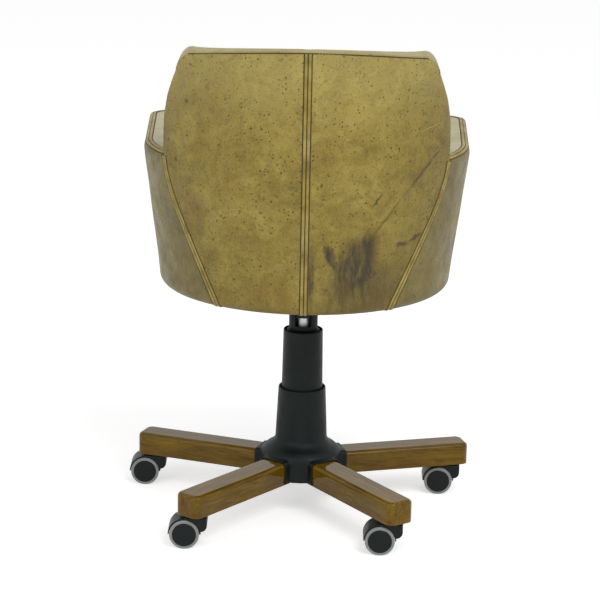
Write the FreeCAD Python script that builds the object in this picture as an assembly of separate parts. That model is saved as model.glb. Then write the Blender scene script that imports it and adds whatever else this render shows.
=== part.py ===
import FreeCAD, Part
import math
import os

V = FreeCAD.Vector
UP = V(0, 0, 1)

# Frame: origin on the floor under the column axis, +Z up, the sitter faces -Y.

# Clearances
RUN_FIT = 0.05          # radial gap of a turning or sliding fit
SEAT_GAP = 0.3          # gap between curved faces that lie on each other
LOOSE_GAP = 0.6         # gap beside a part that turns

# Shares and overshoots used in the building
ARC_SHARE = 1 - math.sqrt(0.5)      # middle of a quarter circle, as a share of its radius
CUT_PAST = 20.0                     # how far a cutting shape reaches past what it cuts
CUT_FAR = 80.0                      # the same for shapes that span the whole tub

# Star base
LEG_COUNT = 5
BASE_TURN = -2.1        # degrees, the small turn of the base about the column
LEG_REACH = 306.7       # column axis to leg tip
LEG_WIDTH = 51.0
LEG_TOP = 94.6
LEG_HEIGHT = 38.4
LEG_START = 46.0        # column axis to the leg's inner end
LEG_TIP_ROUND = 14.0
LEG_EDGE_ROUND = 7.5
LEG_BOLT_RADII = (78.0, 112.0)
LEG_BOLT_R = 4.0
LEG_BOLT_HEAD_R = 6.5
LEG_BOLT_HEAD_H = 3.5
LEG_BOLT_GRIP = 18.0
STAR_PLATE = 4.0
STAR_WIDTH = 28.0
STAR_REACH = 128.0
STAR_RECESS = 4.0       # leg underside to the star plate's underside
HUB_R = 33.0
HUB_TOP = 97.0

# Casters
STEM_INSET = 28.6       # leg tip to stem axis
STEM_R = 5.5
STEM_LENGTH = 34.0
STEM_SHOULDER = 1.0     # the stem stops this far above the wheels' room
STEM_ROOT_COVER = 0.5   # web left on each side of the stem's root
STEM_ROOT_RISE = 7.0
SOCKET_WALL = 2.0
SOCKET_FLANGE_R = 11.0
SOCKET_FLANGE = 1.5
WHEEL_R = 25.0
HUB_DISC_R = 20.3
WHEEL_TRAIL = 20.0      # stem axis to wheel axis
WHEEL_OUTER = 26.7      # caster's middle to the outer wheel face
TREAD_OUTER = 25.2
WHEEL_INNER = 4.8
WEB_HALF = 4.0
AXLE_R = 3.0
AXLE_HALF = 19.0
TREAD_ROUND = 2.0
DISC_BEVEL = 1.5
HOOD_HALF = 23.0
HOOD_R = 27.6
HOOD_LOBE = 18.0        # stem axis to the hood's blunt end
HOOD_LOBE_LOW = 29.0
HOOD_LOBE_EDGE = 40.0
HOOD_EDGE_ROUND = 2.5
WEB_DISC_R = 17.0

# Column and its covers
CYLINDER_R = 14.0
CYLINDER_WALL = 1.5
LIFT_DOWN = 80.0        # travel of the gas lift below the pictured height
CYLINDER_FLOOR = 10.0
TAPER_LOW = 343.0       # bottom rim of the seat socket
TAPER_LENGTH = 24.0
TAPER_DROP = 0.6
VALVE_R = 4.0
VALVE_UP = 3.0
TUBE_R = 25.0
TUBE_WALL = 2.0
TUBE_LOW = 56.0
TUBE_TOP = 228.0
TUBE_TAPER = 0.9
TUBE_FLOOR = 4.0
BUSH_LENGTH = 70.0
BUSH_LIP = 1.0
ROD_R = 5.0
ROD_HEAD = 14.0
ROD_TOP = 200.0
ROD_BELOW = 6.0
BEARING_R = 11.0
BEARING_RING = 2.0
BALL_RING = 4.0
CAGE_STEP = 1.0         # the cage is this much smaller than the rings
ROD_COLLAR = 2.0
ROD_COLLAR_TOP = 4.0    # above the bearing
CLIP_R = 8.5
CLIP = 1.5

COVER_WALL = 2.6
COVER_TOP = 215.0
COVER_TOP_R = 41.2
COVER_LOW = 122.0
COVER_LOW_R = 45.4
SKIRT_R = 70.5
SKIRT_SHOULDER = 100.0
SKIRT_LOW = 58.0
COVER_FLARE = ((2.6, 4.5), (8.0, 9.5), (16.0, 14.0))    # outwards and down from the sleeve
SKIRT_CORNER = ((3.0, 2.0), (0.0, -5.0))    # inside the skirt and above its shoulder
CAP_REACH = 78.0        # column axis to the end of the cap over each leg
CAP_WALL = 2.6
CAP_START = 40.0
CAP_ROUND = 7.0
SLEEVE_TOP = 319.0
SLEEVE_LOW = 170.0
SLEEVE_TOP_R = 34.3
SLEEVE_TAPER = 0.0145   # radius gained per mm downwards
SLEEVE_WALL = 2.0
SLEEVE_LIP = 1.4
COLLAR_LOW = 242.0
COLLAR_SHOULDER = 315.5
COLLAR_RISE = 6.0
COLLAR_NECK_R = 25.0
COLLAR_NECK_WALL = 2.0
COLLAR_TOP = 349.0
COLLAR_RIBS = 36
COLLAR_RIB_R = 0.6
COLLAR_GAP = 0.7
COLLAR_EDGE = 1.0
COLLAR_ROOT = 1.5
WINDOW_LOW = 328.0
WINDOW_HALF_DEG = 34.0

# Tilt mechanism
HOUSING_LOW = 353.0
HOUSING_PLATE = 3.0
HOUSING_HALF = 44.0
HOUSING_FRONT = -112.0
HOUSING_REAR = 30.0
HOUSING_REAR_TOP = 366.0
PIVOT_Y = -60.0
PIVOT_Z = 380.0
PIVOT_R = 5.0
EAR_R = 11.0
HOUSING_SLOPE_RUN = 34.0    # from the ear back to where the side wall slopes down
HOUSING_COVER = 1.0         # side wall left above the lever's hole
SOCKET_DROP = 2.0           # the socket stops this far below the taper's top
PIVOT_HEAD = 3.0
PIVOT_HEAD_R = 8.0
TOP_PLATE_LOW = 396.0
TOP_PLATE = 4.0
TOP_PLATE_HALF = 82.0
TOP_PLATE_FRONT = -118.0
TOP_PLATE_REAR = 104.0
TOP_PLATE_CORNER = 12.0
PLATE_EAR = 3.0
STOP_GAP = 0.3
SPRING_WIRE_R = 2.2
SPRING_TURNS = 5.5
SPRING_PITCH = 6.5
SPRING_TAIL = 22.0
KNOB_Y = -86.0
KNOB_R = 23.0
KNOB_LOW = 325.0
KNOB_HEIGHT = 24.0
KNOB_FLUTES = 10
KNOB_FLUTE_R = 4.0
KNOB_BOLT_R = 5.0
KNOB_EDGE = 2.0
LEVER_R = 3.5
LEVER_TURN = 10.0       # degrees, how far the lever slants forward in plan
LEVER_REACH = 190.0
LEVER_LIFT = 3.0        # free height above the valve button
LEVER_HOLE_GAP = 0.4
PADDLE_LENGTH = 36.0
PADDLE_HALF = 12.0
PADDLE_THICK = 7.0
PADDLE_EDGE = 2.1
MOUNT_BOLT_R = 3.0
MOUNT_BOLT_HEAD_R = 5.5
MOUNT_BOLT_HEAD = 3.5
MOUNT_BOLT_GRIP = 12.0
MOUNT_BOLT_X = 66.0
MOUNT_BOLT_YS = (-98.0, 84.0)

# Tub: plan outline at three heights, rear half an ellipse, sides running forward
RIM_Z = 400.0
ARM_Z = 650.0
BACK_Z = 845.0
RIM_HALF = 249.0
ARM_HALF = 280.0
BACK_HALF = 262.0
RIM_REAR = 221.0
ARM_REAR = 248.0
BACK_REAR = 262.0
RIM_WIDEST_Y = -26.0
ARM_WIDEST_Y = -20.0
BACK_WIDEST_Y = -20.0
RIM_FRONT_HALF = 251.0
ARM_FRONT_HALF = 291.0
RIM_FRONT = -268.0
ARM_FRONT = -286.0
FRONT_ROUND = 26.0
ARC_POINTS = 12
LEATHER = 4.0
FRAME_WALL = 14.0
WALL = 57.0             # whole padded wall
CAP_DEPTH = 10.0        # how far the inner pad folds over the frame's edge
BACK_LOWER_HALF = 141.0     # back panel's half width at the bottom rim
BACK_SHOULDER_Z = 590.0
BACK_SHOULDER_HALF = 223.5
BACK_WIDE_HALF = 236.0
BACK_WIDE_RISE = 40.0       # height of the upright stretch above the arms
BACK_TAPER_Z = 735.0
BACK_TAPER_HALF = 234.0
BACK_TOP_HALF = 215.0
BACK_TOP_SIDE_Z = 808.0
BACK_CROWN_Z = 841.5
BACK_CROWN_R = 1050.0
BACK_CORNER_WIDE = 36.0
BACK_MODULE_Y = 52.0    # the back's side edges end here towards the front
BOARD = 15.0
BOARD_FRONT = -240.0
CUSHION_TOP = 500.0
CUSHION_FRONT = -272.0
CUSHION_ROUND = 22.0
CUSHION_FOOT = 9.0      # bevel round the cushion's lower edge
CUSHION_STEPS = 4
RAIL_THICK = 12.0
# Height and inset of the arm's rounded inner top
ARM_SLOPE = ((588.0, 58.0), (622.0, 49.0), (641.0, 33.0), (653.0, 8.0))


def export(name, *solids):
    """Write one node; several separate solids become one group."""
    flat = []
    for item in solids:
        flat.extend(item.Solids)
    shape = flat[0] if len(flat) == 1 else Part.Compound(flat)
    shape.exportStep("parts/" + name + ".step")


def box(x0, x1, y0, y1, z0, z1):
    return Part.makeBox(x1 - x0, y1 - y0, z1 - z0, V(x0, y0, z0))


def rod(radius, z0, z1, x=0.0, y=0.0):
    return Part.makeCylinder(radius, z1 - z0, V(x, y, z0))


def cone(r0, r1, z0, z1):
    return Part.makeCone(r0, r1, z1 - z0, V(0, 0, z0))


def turned(shape, degrees, centre=V(0, 0, 0), axis=UP):
    copy = shape.copy()
    copy.rotate(centre, axis, degrees)
    return copy


def moved(shape, x, y, z):
    copy = shape.copy()
    copy.translate(V(x, y, z))
    return copy


def revolved(points):
    """Solid of revolution about Z from (radius, z) corners."""
    wire = Part.makePolygon([V(r, 0, z) for r, z in points + points[:1]])
    return Part.Face(wire).revolve(V(0, 0, 0), UP, 360)


def leg_angle(index):
    return BASE_TURN - 90.0 + 360.0 / LEG_COUNT * index


def fillet_where(shape, radius, test):
    return shape.makeFillet(radius, [edge for edge in shape.Edges if test(edge)])


# Star base

LEG_LOW = LEG_TOP - LEG_HEIGHT
STEM_RADIUS_FROM_AXIS = LEG_REACH - STEM_INSET
STAR_LOW = LEG_LOW + STAR_RECESS
SOCKET_R_OUT = STEM_R + RUN_FIT + SOCKET_WALL
SOCKET_TOP = LEG_LOW + STEM_LENGTH - SOCKET_FLANGE


def make_leg():
    """One leg along +X, with a recess for the star plate and a hole for the socket."""
    half = LEG_WIDTH / 2
    leg = box(LEG_START, LEG_REACH, -half, half, LEG_LOW, LEG_TOP)

    def tip_corner(edge):
        middle = edge.CenterOfMass
        return abs(middle.x - LEG_REACH) < 1 and abs(middle.z - (LEG_LOW + LEG_TOP) / 2) < 1

    def top_edge(edge):
        middle = edge.CenterOfMass
        return abs(middle.z - LEG_TOP) < 0.1 and middle.x > LEG_START + 1

    leg = fillet_where(leg, LEG_TIP_ROUND, tip_corner)
    leg = fillet_where(leg, LEG_EDGE_ROUND, top_edge)
    slot_half = STAR_WIDTH / 2 + SEAT_GAP
    leg = leg.cut(box(0, STAR_REACH + SEAT_GAP, -slot_half, slot_half, 0, STAR_LOW + STAR_PLATE))
    leg = leg.cut(rod(SOCKET_R_OUT, 0, SOCKET_TOP, STEM_RADIUS_FROM_AXIS))
    for radius in LEG_BOLT_RADII:
        leg = leg.cut(rod(LEG_BOLT_R, 0, STAR_LOW + STAR_PLATE + LEG_BOLT_GRIP, radius))
    return leg


def make_leg_bolt(radius):
    shank = rod(LEG_BOLT_R, STAR_LOW, STAR_LOW + STAR_PLATE + LEG_BOLT_GRIP, radius)
    head = rod(LEG_BOLT_HEAD_R, STAR_LOW - LEG_BOLT_HEAD_H, STAR_LOW, radius)
    return shank.fuse(head).removeSplitter()


def make_socket():
    """Pressed sleeve that holds a caster stem, along +X at the stem radius."""
    sleeve = rod(SOCKET_R_OUT, LEG_LOW, SOCKET_TOP, STEM_RADIUS_FROM_AXIS)
    flange = rod(SOCKET_FLANGE_R, LEG_LOW - SOCKET_FLANGE, LEG_LOW, STEM_RADIUS_FROM_AXIS)
    bore_top = SOCKET_TOP - SOCKET_WALL
    bore = rod(STEM_R + RUN_FIT, LEG_LOW - SOCKET_FLANGE - 1, bore_top, STEM_RADIUS_FROM_AXIS)
    return sleeve.fuse(flange).cut(bore).removeSplitter()


def tube_radius(z):
    """Outside of the column tube, which narrows inside the hub."""
    return TUBE_R - TUBE_TAPER * max(0.0, (HUB_TOP - z) / (HUB_TOP - TUBE_LOW))


def make_hub():
    hub = rod(HUB_R, STAR_LOW, HUB_TOP)
    for index in range(LEG_COUNT):
        half = STAR_WIDTH / 2
        arm = box(0, STAR_REACH, -half, half, STAR_LOW, STAR_LOW + STAR_PLATE)
        for radius in LEG_BOLT_RADII:
            arm = arm.cut(rod(LEG_BOLT_R, 0, HUB_TOP, radius))
        hub = hub.fuse(turned(arm, leg_angle(index)))
    low = TUBE_LOW
    bore = cone(tube_radius(low) + RUN_FIT, TUBE_R + RUN_FIT, low, HUB_TOP)
    return hub.removeSplitter().cut(bore)


# Casters, each built with its stem on the Z axis and its wheels trailing towards +X

WHEEL_AT = V(WHEEL_TRAIL, 0, WHEEL_R)
HOOD_TOP = LEG_LOW - SOCKET_FLANGE - LOOSE_GAP
STEM_TOP = SOCKET_TOP - SOCKET_WALL - LOOSE_GAP
WHEEL_ROOM_R = WHEEL_R + LOOSE_GAP
STEM_SEAT = WHEEL_R + math.sqrt(WHEEL_ROOM_R ** 2 - (WHEEL_TRAIL - STEM_R) ** 2) + STEM_SHOULDER
STEM_ROOT_R = WEB_HALF - STEM_ROOT_COVER
STEM_ROOT_LOW = HOOD_LOBE_LOW + STEM_ROOT_RISE


def across(radius, y0, y1):
    """Cylinder along Y about the wheel axis."""
    return Part.makeCylinder(radius, y1 - y0, V(WHEEL_AT.x, y0, WHEEL_AT.z), V(0, 1, 0))


def make_hood():
    """Fender over both wheels, a web between them and a blunt lobe round the stem."""
    far = WHEEL_AT.x + HOOD_R
    dome = across(HOOD_R, -HOOD_HALF, HOOD_HALF)
    dome = fillet_where(dome, HOOD_EDGE_ROUND, lambda edge: edge.Curve.TypeId == "Part::GeomCircle")
    dome = dome.common(box(-far, far, -HOOD_HALF, HOOD_HALF, WHEEL_AT.z, HOOD_TOP))
    lobe = box(-HOOD_LOBE, WHEEL_AT.x, -HOOD_HALF, HOOD_HALF, HOOD_LOBE_LOW, HOOD_TOP)
    lobe = fillet_where(lobe, HOOD_LOBE_EDGE - HOOD_LOBE_LOW, lambda edge: (
        abs(edge.CenterOfMass.x + HOOD_LOBE) < 0.1 and abs(edge.CenterOfMass.z - HOOD_LOBE_LOW) < 0.1))
    lobe = fillet_where(lobe, HOOD_EDGE_ROUND, lambda edge: (
        abs(abs(edge.CenterOfMass.y) - HOOD_HALF) < 0.1 and edge.CenterOfMass.x < WHEEL_AT.x - 1))
    hood = dome.fuse(lobe).removeSplitter()
    for side in (-1, 1):
        room = across(WHEEL_ROOM_R, WEB_HALF, HOOD_HALF + CUT_PAST)
        if side < 0:
            room = room.mirror(V(0, 0, 0), V(0, 1, 0))
        hood = hood.cut(room)
    hood = hood.fuse(across(WEB_DISC_R, -WEB_HALF, WEB_HALF)).removeSplitter()
    hood = hood.cut(across(AXLE_R, -HOOD_HALF, HOOD_HALF))
    hood = hood.cut(rod(STEM_ROOT_R, STEM_ROOT_LOW, HOOD_TOP))
    return hood.cut(rod(STEM_R, STEM_SEAT, HOOD_TOP + 1))


def make_pins():
    """The steel stem, pressed into the hood, and the wheel axle."""
    root = rod(STEM_ROOT_R, STEM_ROOT_LOW, STEM_SEAT)
    stem = rod(STEM_R, STEM_SEAT, STEM_TOP).fuse(root).removeSplitter()
    return stem, across(AXLE_R, -AXLE_HALF, AXLE_HALF)


def make_wheel(side):
    """Wheel disc with its blind axle bore; side is +1 or -1 along Y."""
    disc = across(HUB_DISC_R, WHEEL_INNER, WHEEL_OUTER)
    disc = disc.makeChamfer(DISC_BEVEL, [edge for edge in disc.Edges
                                         if abs(edge.CenterOfMass.y - WHEEL_OUTER) < 0.1])
    disc = disc.cut(across(AXLE_R + RUN_FIT, 0, AXLE_HALF + LOOSE_GAP))
    return disc if side > 0 else disc.mirror(V(0, 0, 0), V(0, 1, 0))


def make_tread(side):
    tyre = across(WHEEL_R, WHEEL_INNER, TREAD_OUTER)
    tyre = fillet_where(tyre, TREAD_ROUND, lambda edge: edge.Curve.TypeId == "Part::GeomCircle")
    tyre = tyre.cut(across(HUB_DISC_R, 0, WHEEL_OUTER))
    return tyre if side > 0 else tyre.mirror(V(0, 0, 0), V(0, 1, 0))


def place_caster(shape, index):
    """Casters all trail the same way, whatever leg they stand under."""
    angle = math.radians(leg_angle(index))
    x = STEM_RADIUS_FROM_AXIS * math.cos(angle)
    y = STEM_RADIUS_FROM_AXIS * math.sin(angle)
    return moved(shape, x, y, 0)


# Column

def make_column_tube():
    outer = cone(tube_radius(TUBE_LOW), TUBE_R, TUBE_LOW, HUB_TOP)
    outer = outer.fuse(rod(TUBE_R, HUB_TOP, TUBE_TOP)).removeSplitter()
    room = rod(TUBE_R - TUBE_WALL - TUBE_TAPER, TUBE_LOW + TUBE_FLOOR, TUBE_TOP + 1)
    return outer.cut(room).cut(rod(ROD_R + RUN_FIT, 0, TUBE_TOP))


def make_bush():
    inner_r = TUBE_R - TUBE_WALL - TUBE_TAPER
    bush = rod(inner_r, TUBE_TOP - BUSH_LENGTH, TUBE_TOP)
    bush = bush.fuse(rod(TUBE_R - TUBE_WALL, TUBE_TOP, TUBE_TOP + BUSH_LIP)).removeSplitter()
    return bush.cut(rod(CYLINDER_R + RUN_FIT, 0, TUBE_TOP + 10))


def make_bearing():
    """Lower ring, ball cage and upper ring that the piston rod turns on."""
    floor = TUBE_LOW + TUBE_FLOOR
    heights = (BEARING_RING, BALL_RING, BEARING_RING)
    rings = []
    for order, height in enumerate(heights):
        radius = BEARING_R - (CAGE_STEP if order == 1 else 0.0)
        ring = rod(radius, floor, floor + height).cut(rod(ROD_R + SEAT_GAP, 0, TUBE_TOP))
        rings.append(ring)
        floor += height
    return rings


BEARING_TOP = TUBE_LOW + TUBE_FLOOR + 2 * BEARING_RING + BALL_RING
CYLINDER_LOW = BEARING_TOP + ROD_COLLAR_TOP + LIFT_DOWN + LOOSE_GAP


def make_piston_rod():
    """Rod with a thrust collar on the bearing, its piston and a clip below the tube."""
    steel = rod(ROD_R, TUBE_LOW - ROD_BELOW, ROD_TOP)
    steel = steel.fuse(rod(ROD_R + ROD_COLLAR, BEARING_TOP + STOP_GAP, BEARING_TOP + ROD_COLLAR_TOP))
    piston = rod(CYLINDER_R - CYLINDER_WALL - RUN_FIT, ROD_TOP - ROD_HEAD, ROD_TOP)
    steel = steel.fuse(piston).removeSplitter()
    clip_top = TUBE_LOW - STOP_GAP
    clip = rod(CLIP_R, clip_top - CLIP, clip_top).cut(rod(ROD_R, 0, TUBE_LOW))
    return steel, clip


def make_gas_cylinder():
    """Bright cylinder with a tapered head and the valve button on top."""
    body = rod(CYLINDER_R, CYLINDER_LOW, TAPER_LOW)
    head = cone(CYLINDER_R, CYLINDER_R - TAPER_DROP, TAPER_LOW, TAPER_LOW + TAPER_LENGTH)
    button = rod(VALVE_R, TAPER_LOW, TAPER_LOW + TAPER_LENGTH + VALVE_UP)
    room = rod(CYLINDER_R - CYLINDER_WALL, CYLINDER_LOW + CYLINDER_FLOOR, TAPER_LOW)
    guide = rod(ROD_R + RUN_FIT, 0, TAPER_LOW)
    return body.fuse(head).fuse(button).removeSplitter().cut(room).cut(guide)


def cover_profile(inset):
    """Lower cover's outline from the sleeve rim to the skirt, moved inwards by inset."""
    profile = [(COVER_TOP_R - inset, COVER_TOP), (COVER_LOW_R - inset, COVER_LOW)]
    for out, down in COVER_FLARE:
        profile.append((COVER_LOW_R + out - inset, COVER_LOW - down - inset))
    for back, up in SKIRT_CORNER:
        profile.append((SKIRT_R - back - inset, SKIRT_SHOULDER + up - inset))
    profile.append((SKIRT_R - inset, SKIRT_LOW))
    return profile


def make_hub_cover():
    """Sleeve and skirt in one moulding, with a cap over the root of each leg."""
    outer = revolved(cover_profile(0) + [(0, SKIRT_LOW), (0, COVER_TOP)])
    cap_half = LEG_WIDTH / 2 + SEAT_GAP + CAP_WALL
    leg_half = LEG_WIDTH / 2 + SEAT_GAP
    cap = box(CAP_START, CAP_REACH, -cap_half, cap_half, SKIRT_LOW, LEG_TOP + SEAT_GAP + CAP_WALL)
    cap = fillet_where(cap, CAP_ROUND, lambda edge: (
        edge.CenterOfMass.z > LEG_TOP and abs(abs(edge.CenterOfMass.y) - cap_half) < 0.1))
    for index in range(LEG_COUNT):
        outer = outer.fuse(turned(cap, leg_angle(index)))
    inner = revolved(cover_profile(COVER_WALL) + [(0, SKIRT_LOW), (0, COVER_TOP)])
    cover = outer.cut(inner)
    for index in range(LEG_COUNT):
        slot = box(CAP_START - CUT_PAST, CAP_REACH + CUT_PAST, -leg_half, leg_half, 0, LEG_TOP + SEAT_GAP)
        cover = cover.cut(turned(slot, leg_angle(index)))
    return cover.removeSplitter()


def sleeve_radius(z):
    return SLEEVE_TOP_R + SLEEVE_TAPER * (SLEEVE_TOP - z)


def make_cover_sleeve():
    low_r = sleeve_radius(SLEEVE_LOW)
    lip = SLEEVE_LIP
    return revolved([
        (low_r, SLEEVE_LOW),
        (SLEEVE_TOP_R, SLEEVE_TOP - lip),
        (SLEEVE_TOP_R - lip * ARC_SHARE, SLEEVE_TOP - lip * ARC_SHARE),
        (SLEEVE_TOP_R - lip, SLEEVE_TOP),
        (SLEEVE_TOP_R - SLEEVE_WALL, SLEEVE_TOP),
        (low_r - SLEEVE_WALL, SLEEVE_LOW),
    ])


def make_cover_collar():
    """Top stage: skirt inside the sleeve, shoulder, and a ribbed neck with two windows."""
    wide = SLEEVE_TOP_R - SLEEVE_WALL - COLLAR_GAP
    neck = COLLAR_NECK_R
    wall = COLLAR_NECK_WALL
    shoulder_top = COLLAR_SHOULDER + COLLAR_RISE
    collar = revolved([
        (wide, COLLAR_LOW),
        (wide, COLLAR_SHOULDER - COLLAR_EDGE),
        (wide - COLLAR_EDGE, COLLAR_SHOULDER),
        (neck + COLLAR_ROOT, shoulder_top - COLLAR_ROOT),
        (neck, shoulder_top),
        (neck, COLLAR_TOP),
        (neck - wall, COLLAR_TOP),
        (neck - wall, shoulder_top - wall),
        (wide - wall, COLLAR_SHOULDER - wall - COLLAR_EDGE),
        (wide - wall, COLLAR_LOW),
    ])
    for index in range(COLLAR_RIBS):
        angle = math.radians(360.0 / COLLAR_RIBS * index)
        groove = rod(COLLAR_RIB_R, shoulder_top + COLLAR_EDGE, COLLAR_TOP + 1,
                     neck * math.cos(angle), neck * math.sin(angle))
        collar = collar.cut(groove)
    half = neck * math.sin(math.radians(WINDOW_HALF_DEG))
    for y0, y1 in ((0, neck + 5), (-neck - 5, 0)):
        collar = collar.cut(box(-half, half, y0, y1, WINDOW_LOW, COLLAR_TOP + 1))
    return collar


# Tilt mechanism

SOCKET_R = COLLAR_NECK_R - COLLAR_NECK_WALL - SEAT_GAP
SPRING_COIL_R = PIVOT_R + SEAT_GAP + SPRING_WIRE_R
KNOB_BOLT_TOP = PIVOT_Z - SPRING_COIL_R - SPRING_WIRE_R - STOP_GAP
TAPER_TOP = TAPER_LOW + TAPER_LENGTH
VALVE_TOP = TAPER_TOP + VALVE_UP
LEVER_Z = VALVE_TOP + LEVER_LIFT + LEVER_R


def make_housing():
    """Pressed box with a taper socket, side walls and ears for the pivot pin."""
    half = HOUSING_HALF
    wall = HOUSING_PLATE
    floor = box(-half, half, HOUSING_FRONT, HOUSING_REAR, HOUSING_LOW, HOUSING_LOW + wall)
    front_top = TOP_PLATE_LOW - STOP_GAP
    front = box(-half, half, HOUSING_FRONT, HOUSING_FRONT + wall, HOUSING_LOW, front_top)
    rear = box(-half, half, HOUSING_REAR - wall, HOUSING_REAR, HOUSING_LOW, HOUSING_REAR_TOP)
    side_corners = [
        (HOUSING_FRONT, HOUSING_LOW),
        (HOUSING_REAR, HOUSING_LOW),
        (HOUSING_REAR, HOUSING_REAR_TOP),
        (PIVOT_Y + EAR_R + HOUSING_SLOPE_RUN, LEVER_Z + LEVER_R + HOUSING_COVER),
        (PIVOT_Y + EAR_R, PIVOT_Z + EAR_R),
        (HOUSING_FRONT, PIVOT_Z + EAR_R),
    ]
    wire = Part.makePolygon([V(-half, y, z) for y, z in side_corners + side_corners[:1]])
    side = Part.Face(wire).extrude(V(wall, 0, 0))
    socket = rod(SOCKET_R, TAPER_LOW, TAPER_TOP - SOCKET_DROP)
    housing = floor.fuse([front, rear, side, moved(side, 2 * half - wall, 0, 0), socket])
    fit = RUN_FIT / 2
    housing = housing.cut(cone(CYLINDER_R + fit, CYLINDER_R - TAPER_DROP + fit, TAPER_LOW, TAPER_TOP))
    pin_hole = Part.makeCylinder(PIVOT_R, 2 * half, V(-half, PIVOT_Y, PIVOT_Z), V(1, 0, 0))
    housing = housing.cut(pin_hole)
    housing = housing.cut(rod(KNOB_BOLT_R + RUN_FIT, HOUSING_LOW - 1, HOUSING_LOW + wall + 1, 0, KNOB_Y))
    housing = housing.cut(lever_rod(LEVER_R + LEVER_HOLE_GAP, 0.0, 2 * half))
    return housing.removeSplitter()


def lever_rod(radius, start, end):
    """Rod from the column axis towards the sitter's right, slanting forward."""
    angle = math.radians(LEVER_TURN)
    direction = V(-math.cos(angle), -math.sin(angle), 0)
    return Part.makeCylinder(radius, end - start, V(0, 0, LEVER_Z) + direction * start, direction)


def make_lever():
    inner_end = -VALVE_R
    lever = lever_rod(LEVER_R, inner_end, LEVER_REACH)
    end = LEVER_REACH + PADDLE_LENGTH
    paddle = box(-end, -LEVER_REACH, -PADDLE_HALF, PADDLE_HALF,
                 LEVER_Z - PADDLE_THICK / 2, LEVER_Z + PADDLE_THICK / 2)
    paddle = fillet_where(paddle, PADDLE_THICK, lambda edge: (
        abs(edge.CenterOfMass.x + end) < 0.1 and abs(edge.CenterOfMass.z - LEVER_Z) < 0.1))
    paddle = paddle.makeFillet(PADDLE_EDGE, paddle.Edges)
    return lever.fuse(turned(paddle, LEVER_TURN)).removeSplitter()


def make_pivot_pin():
    half = HOUSING_HALF + SEAT_GAP + PLATE_EAR
    pin = Part.makeCylinder(PIVOT_R, 2 * half, V(-half, PIVOT_Y, PIVOT_Z), V(1, 0, 0))
    for start in (-half - SEAT_GAP - PIVOT_HEAD, half + SEAT_GAP):
        head = Part.makeCylinder(PIVOT_HEAD_R, PIVOT_HEAD, V(start, PIVOT_Y, PIVOT_Z), V(1, 0, 0))
        neck_start = min(start, start + (PIVOT_HEAD if start < 0 else -SEAT_GAP))
        neck = Part.makeCylinder(PIVOT_R, PIVOT_HEAD + SEAT_GAP, V(neck_start, PIVOT_Y, PIVOT_Z), V(1, 0, 0))
        pin = pin.fuse([head, neck])
    return pin.removeSplitter()


def make_spring():
    """Torsion spring round the pivot pin: one leg on the knob's bolt, one under the top plate."""
    length = SPRING_TURNS * SPRING_PITCH
    helix = Part.makeHelix(SPRING_PITCH, length, SPRING_COIL_R)
    circle = Part.Wire(Part.makeCircle(SPRING_WIRE_R, V(SPRING_COIL_R, 0, 0), V(0, 1, 0)))
    coil = Part.Wire(helix.Edges).makePipeShell([circle], True, True)
    front_leg = Part.makeCylinder(SPRING_WIRE_R, PIVOT_Y - KNOB_Y + KNOB_BOLT_R,
                                  V(SPRING_COIL_R, 0, 0), V(0, -1, 0))
    climb = TOP_PLATE_LOW - STOP_GAP - SPRING_WIRE_R - PIVOT_Z - SPRING_COIL_R
    rear_end = V(-SPRING_COIL_R - climb, SPRING_TAIL, 0)
    rear_way = rear_end - V(-SPRING_COIL_R, 0, 0)
    rear_leg = Part.makeCylinder(SPRING_WIRE_R, rear_way.Length, V(-SPRING_COIL_R, 0, length), rear_way)
    spring = coil.fuse([front_leg, rear_leg]).removeSplitter()
    spring.translate(V(0, 0, -length / 2))
    spring.rotate(V(0, 0, 0), V(0, 1, 0), 90)
    spring.translate(V(0, PIVOT_Y, PIVOT_Z))
    return spring


def make_top_plate():
    """Plate screwed to the seat board, with two ears outside the housing."""
    half = TOP_PLATE_HALF
    top = TOP_PLATE_LOW + TOP_PLATE
    plate = box(-half, half, TOP_PLATE_FRONT, TOP_PLATE_REAR, TOP_PLATE_LOW, top)
    plate = fillet_where(plate, TOP_PLATE_CORNER, lambda edge: (
        abs(edge.CenterOfMass.z - (TOP_PLATE_LOW + top) / 2) < 0.1))
    inner = HOUSING_HALF + SEAT_GAP
    for x0 in (inner, -inner - PLATE_EAR):
        ear = Part.makeCylinder(EAR_R, PLATE_EAR, V(x0, PIVOT_Y, PIVOT_Z), V(1, 0, 0))
        web = box(x0, x0 + PLATE_EAR, PIVOT_Y - EAR_R, PIVOT_Y + EAR_R, PIVOT_Z, TOP_PLATE_LOW)
        plate = plate.fuse([ear, web])
    hole = Part.makeCylinder(PIVOT_R + RUN_FIT, 4 * inner, V(-2 * inner, PIVOT_Y, PIVOT_Z), V(1, 0, 0))
    plate = plate.removeSplitter().cut(hole)
    for x, y in mount_bolt_places():
        plate = plate.cut(rod(MOUNT_BOLT_R, TOP_PLATE_LOW - 1, top + 1, x, y))
    return plate


def mount_bolt_places():
    return [(x, y) for x in (-MOUNT_BOLT_X, MOUNT_BOLT_X) for y in MOUNT_BOLT_YS]


def make_mount_bolts():
    bolts = []
    for x, y in mount_bolt_places():
        shank = rod(MOUNT_BOLT_R, TOP_PLATE_LOW, TOP_PLATE_LOW + MOUNT_BOLT_GRIP, x, y)
        head = rod(MOUNT_BOLT_HEAD_R, TOP_PLATE_LOW - MOUNT_BOLT_HEAD, TOP_PLATE_LOW, x, y)
        bolts.append(shank.fuse(head).removeSplitter())
    return bolts


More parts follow.
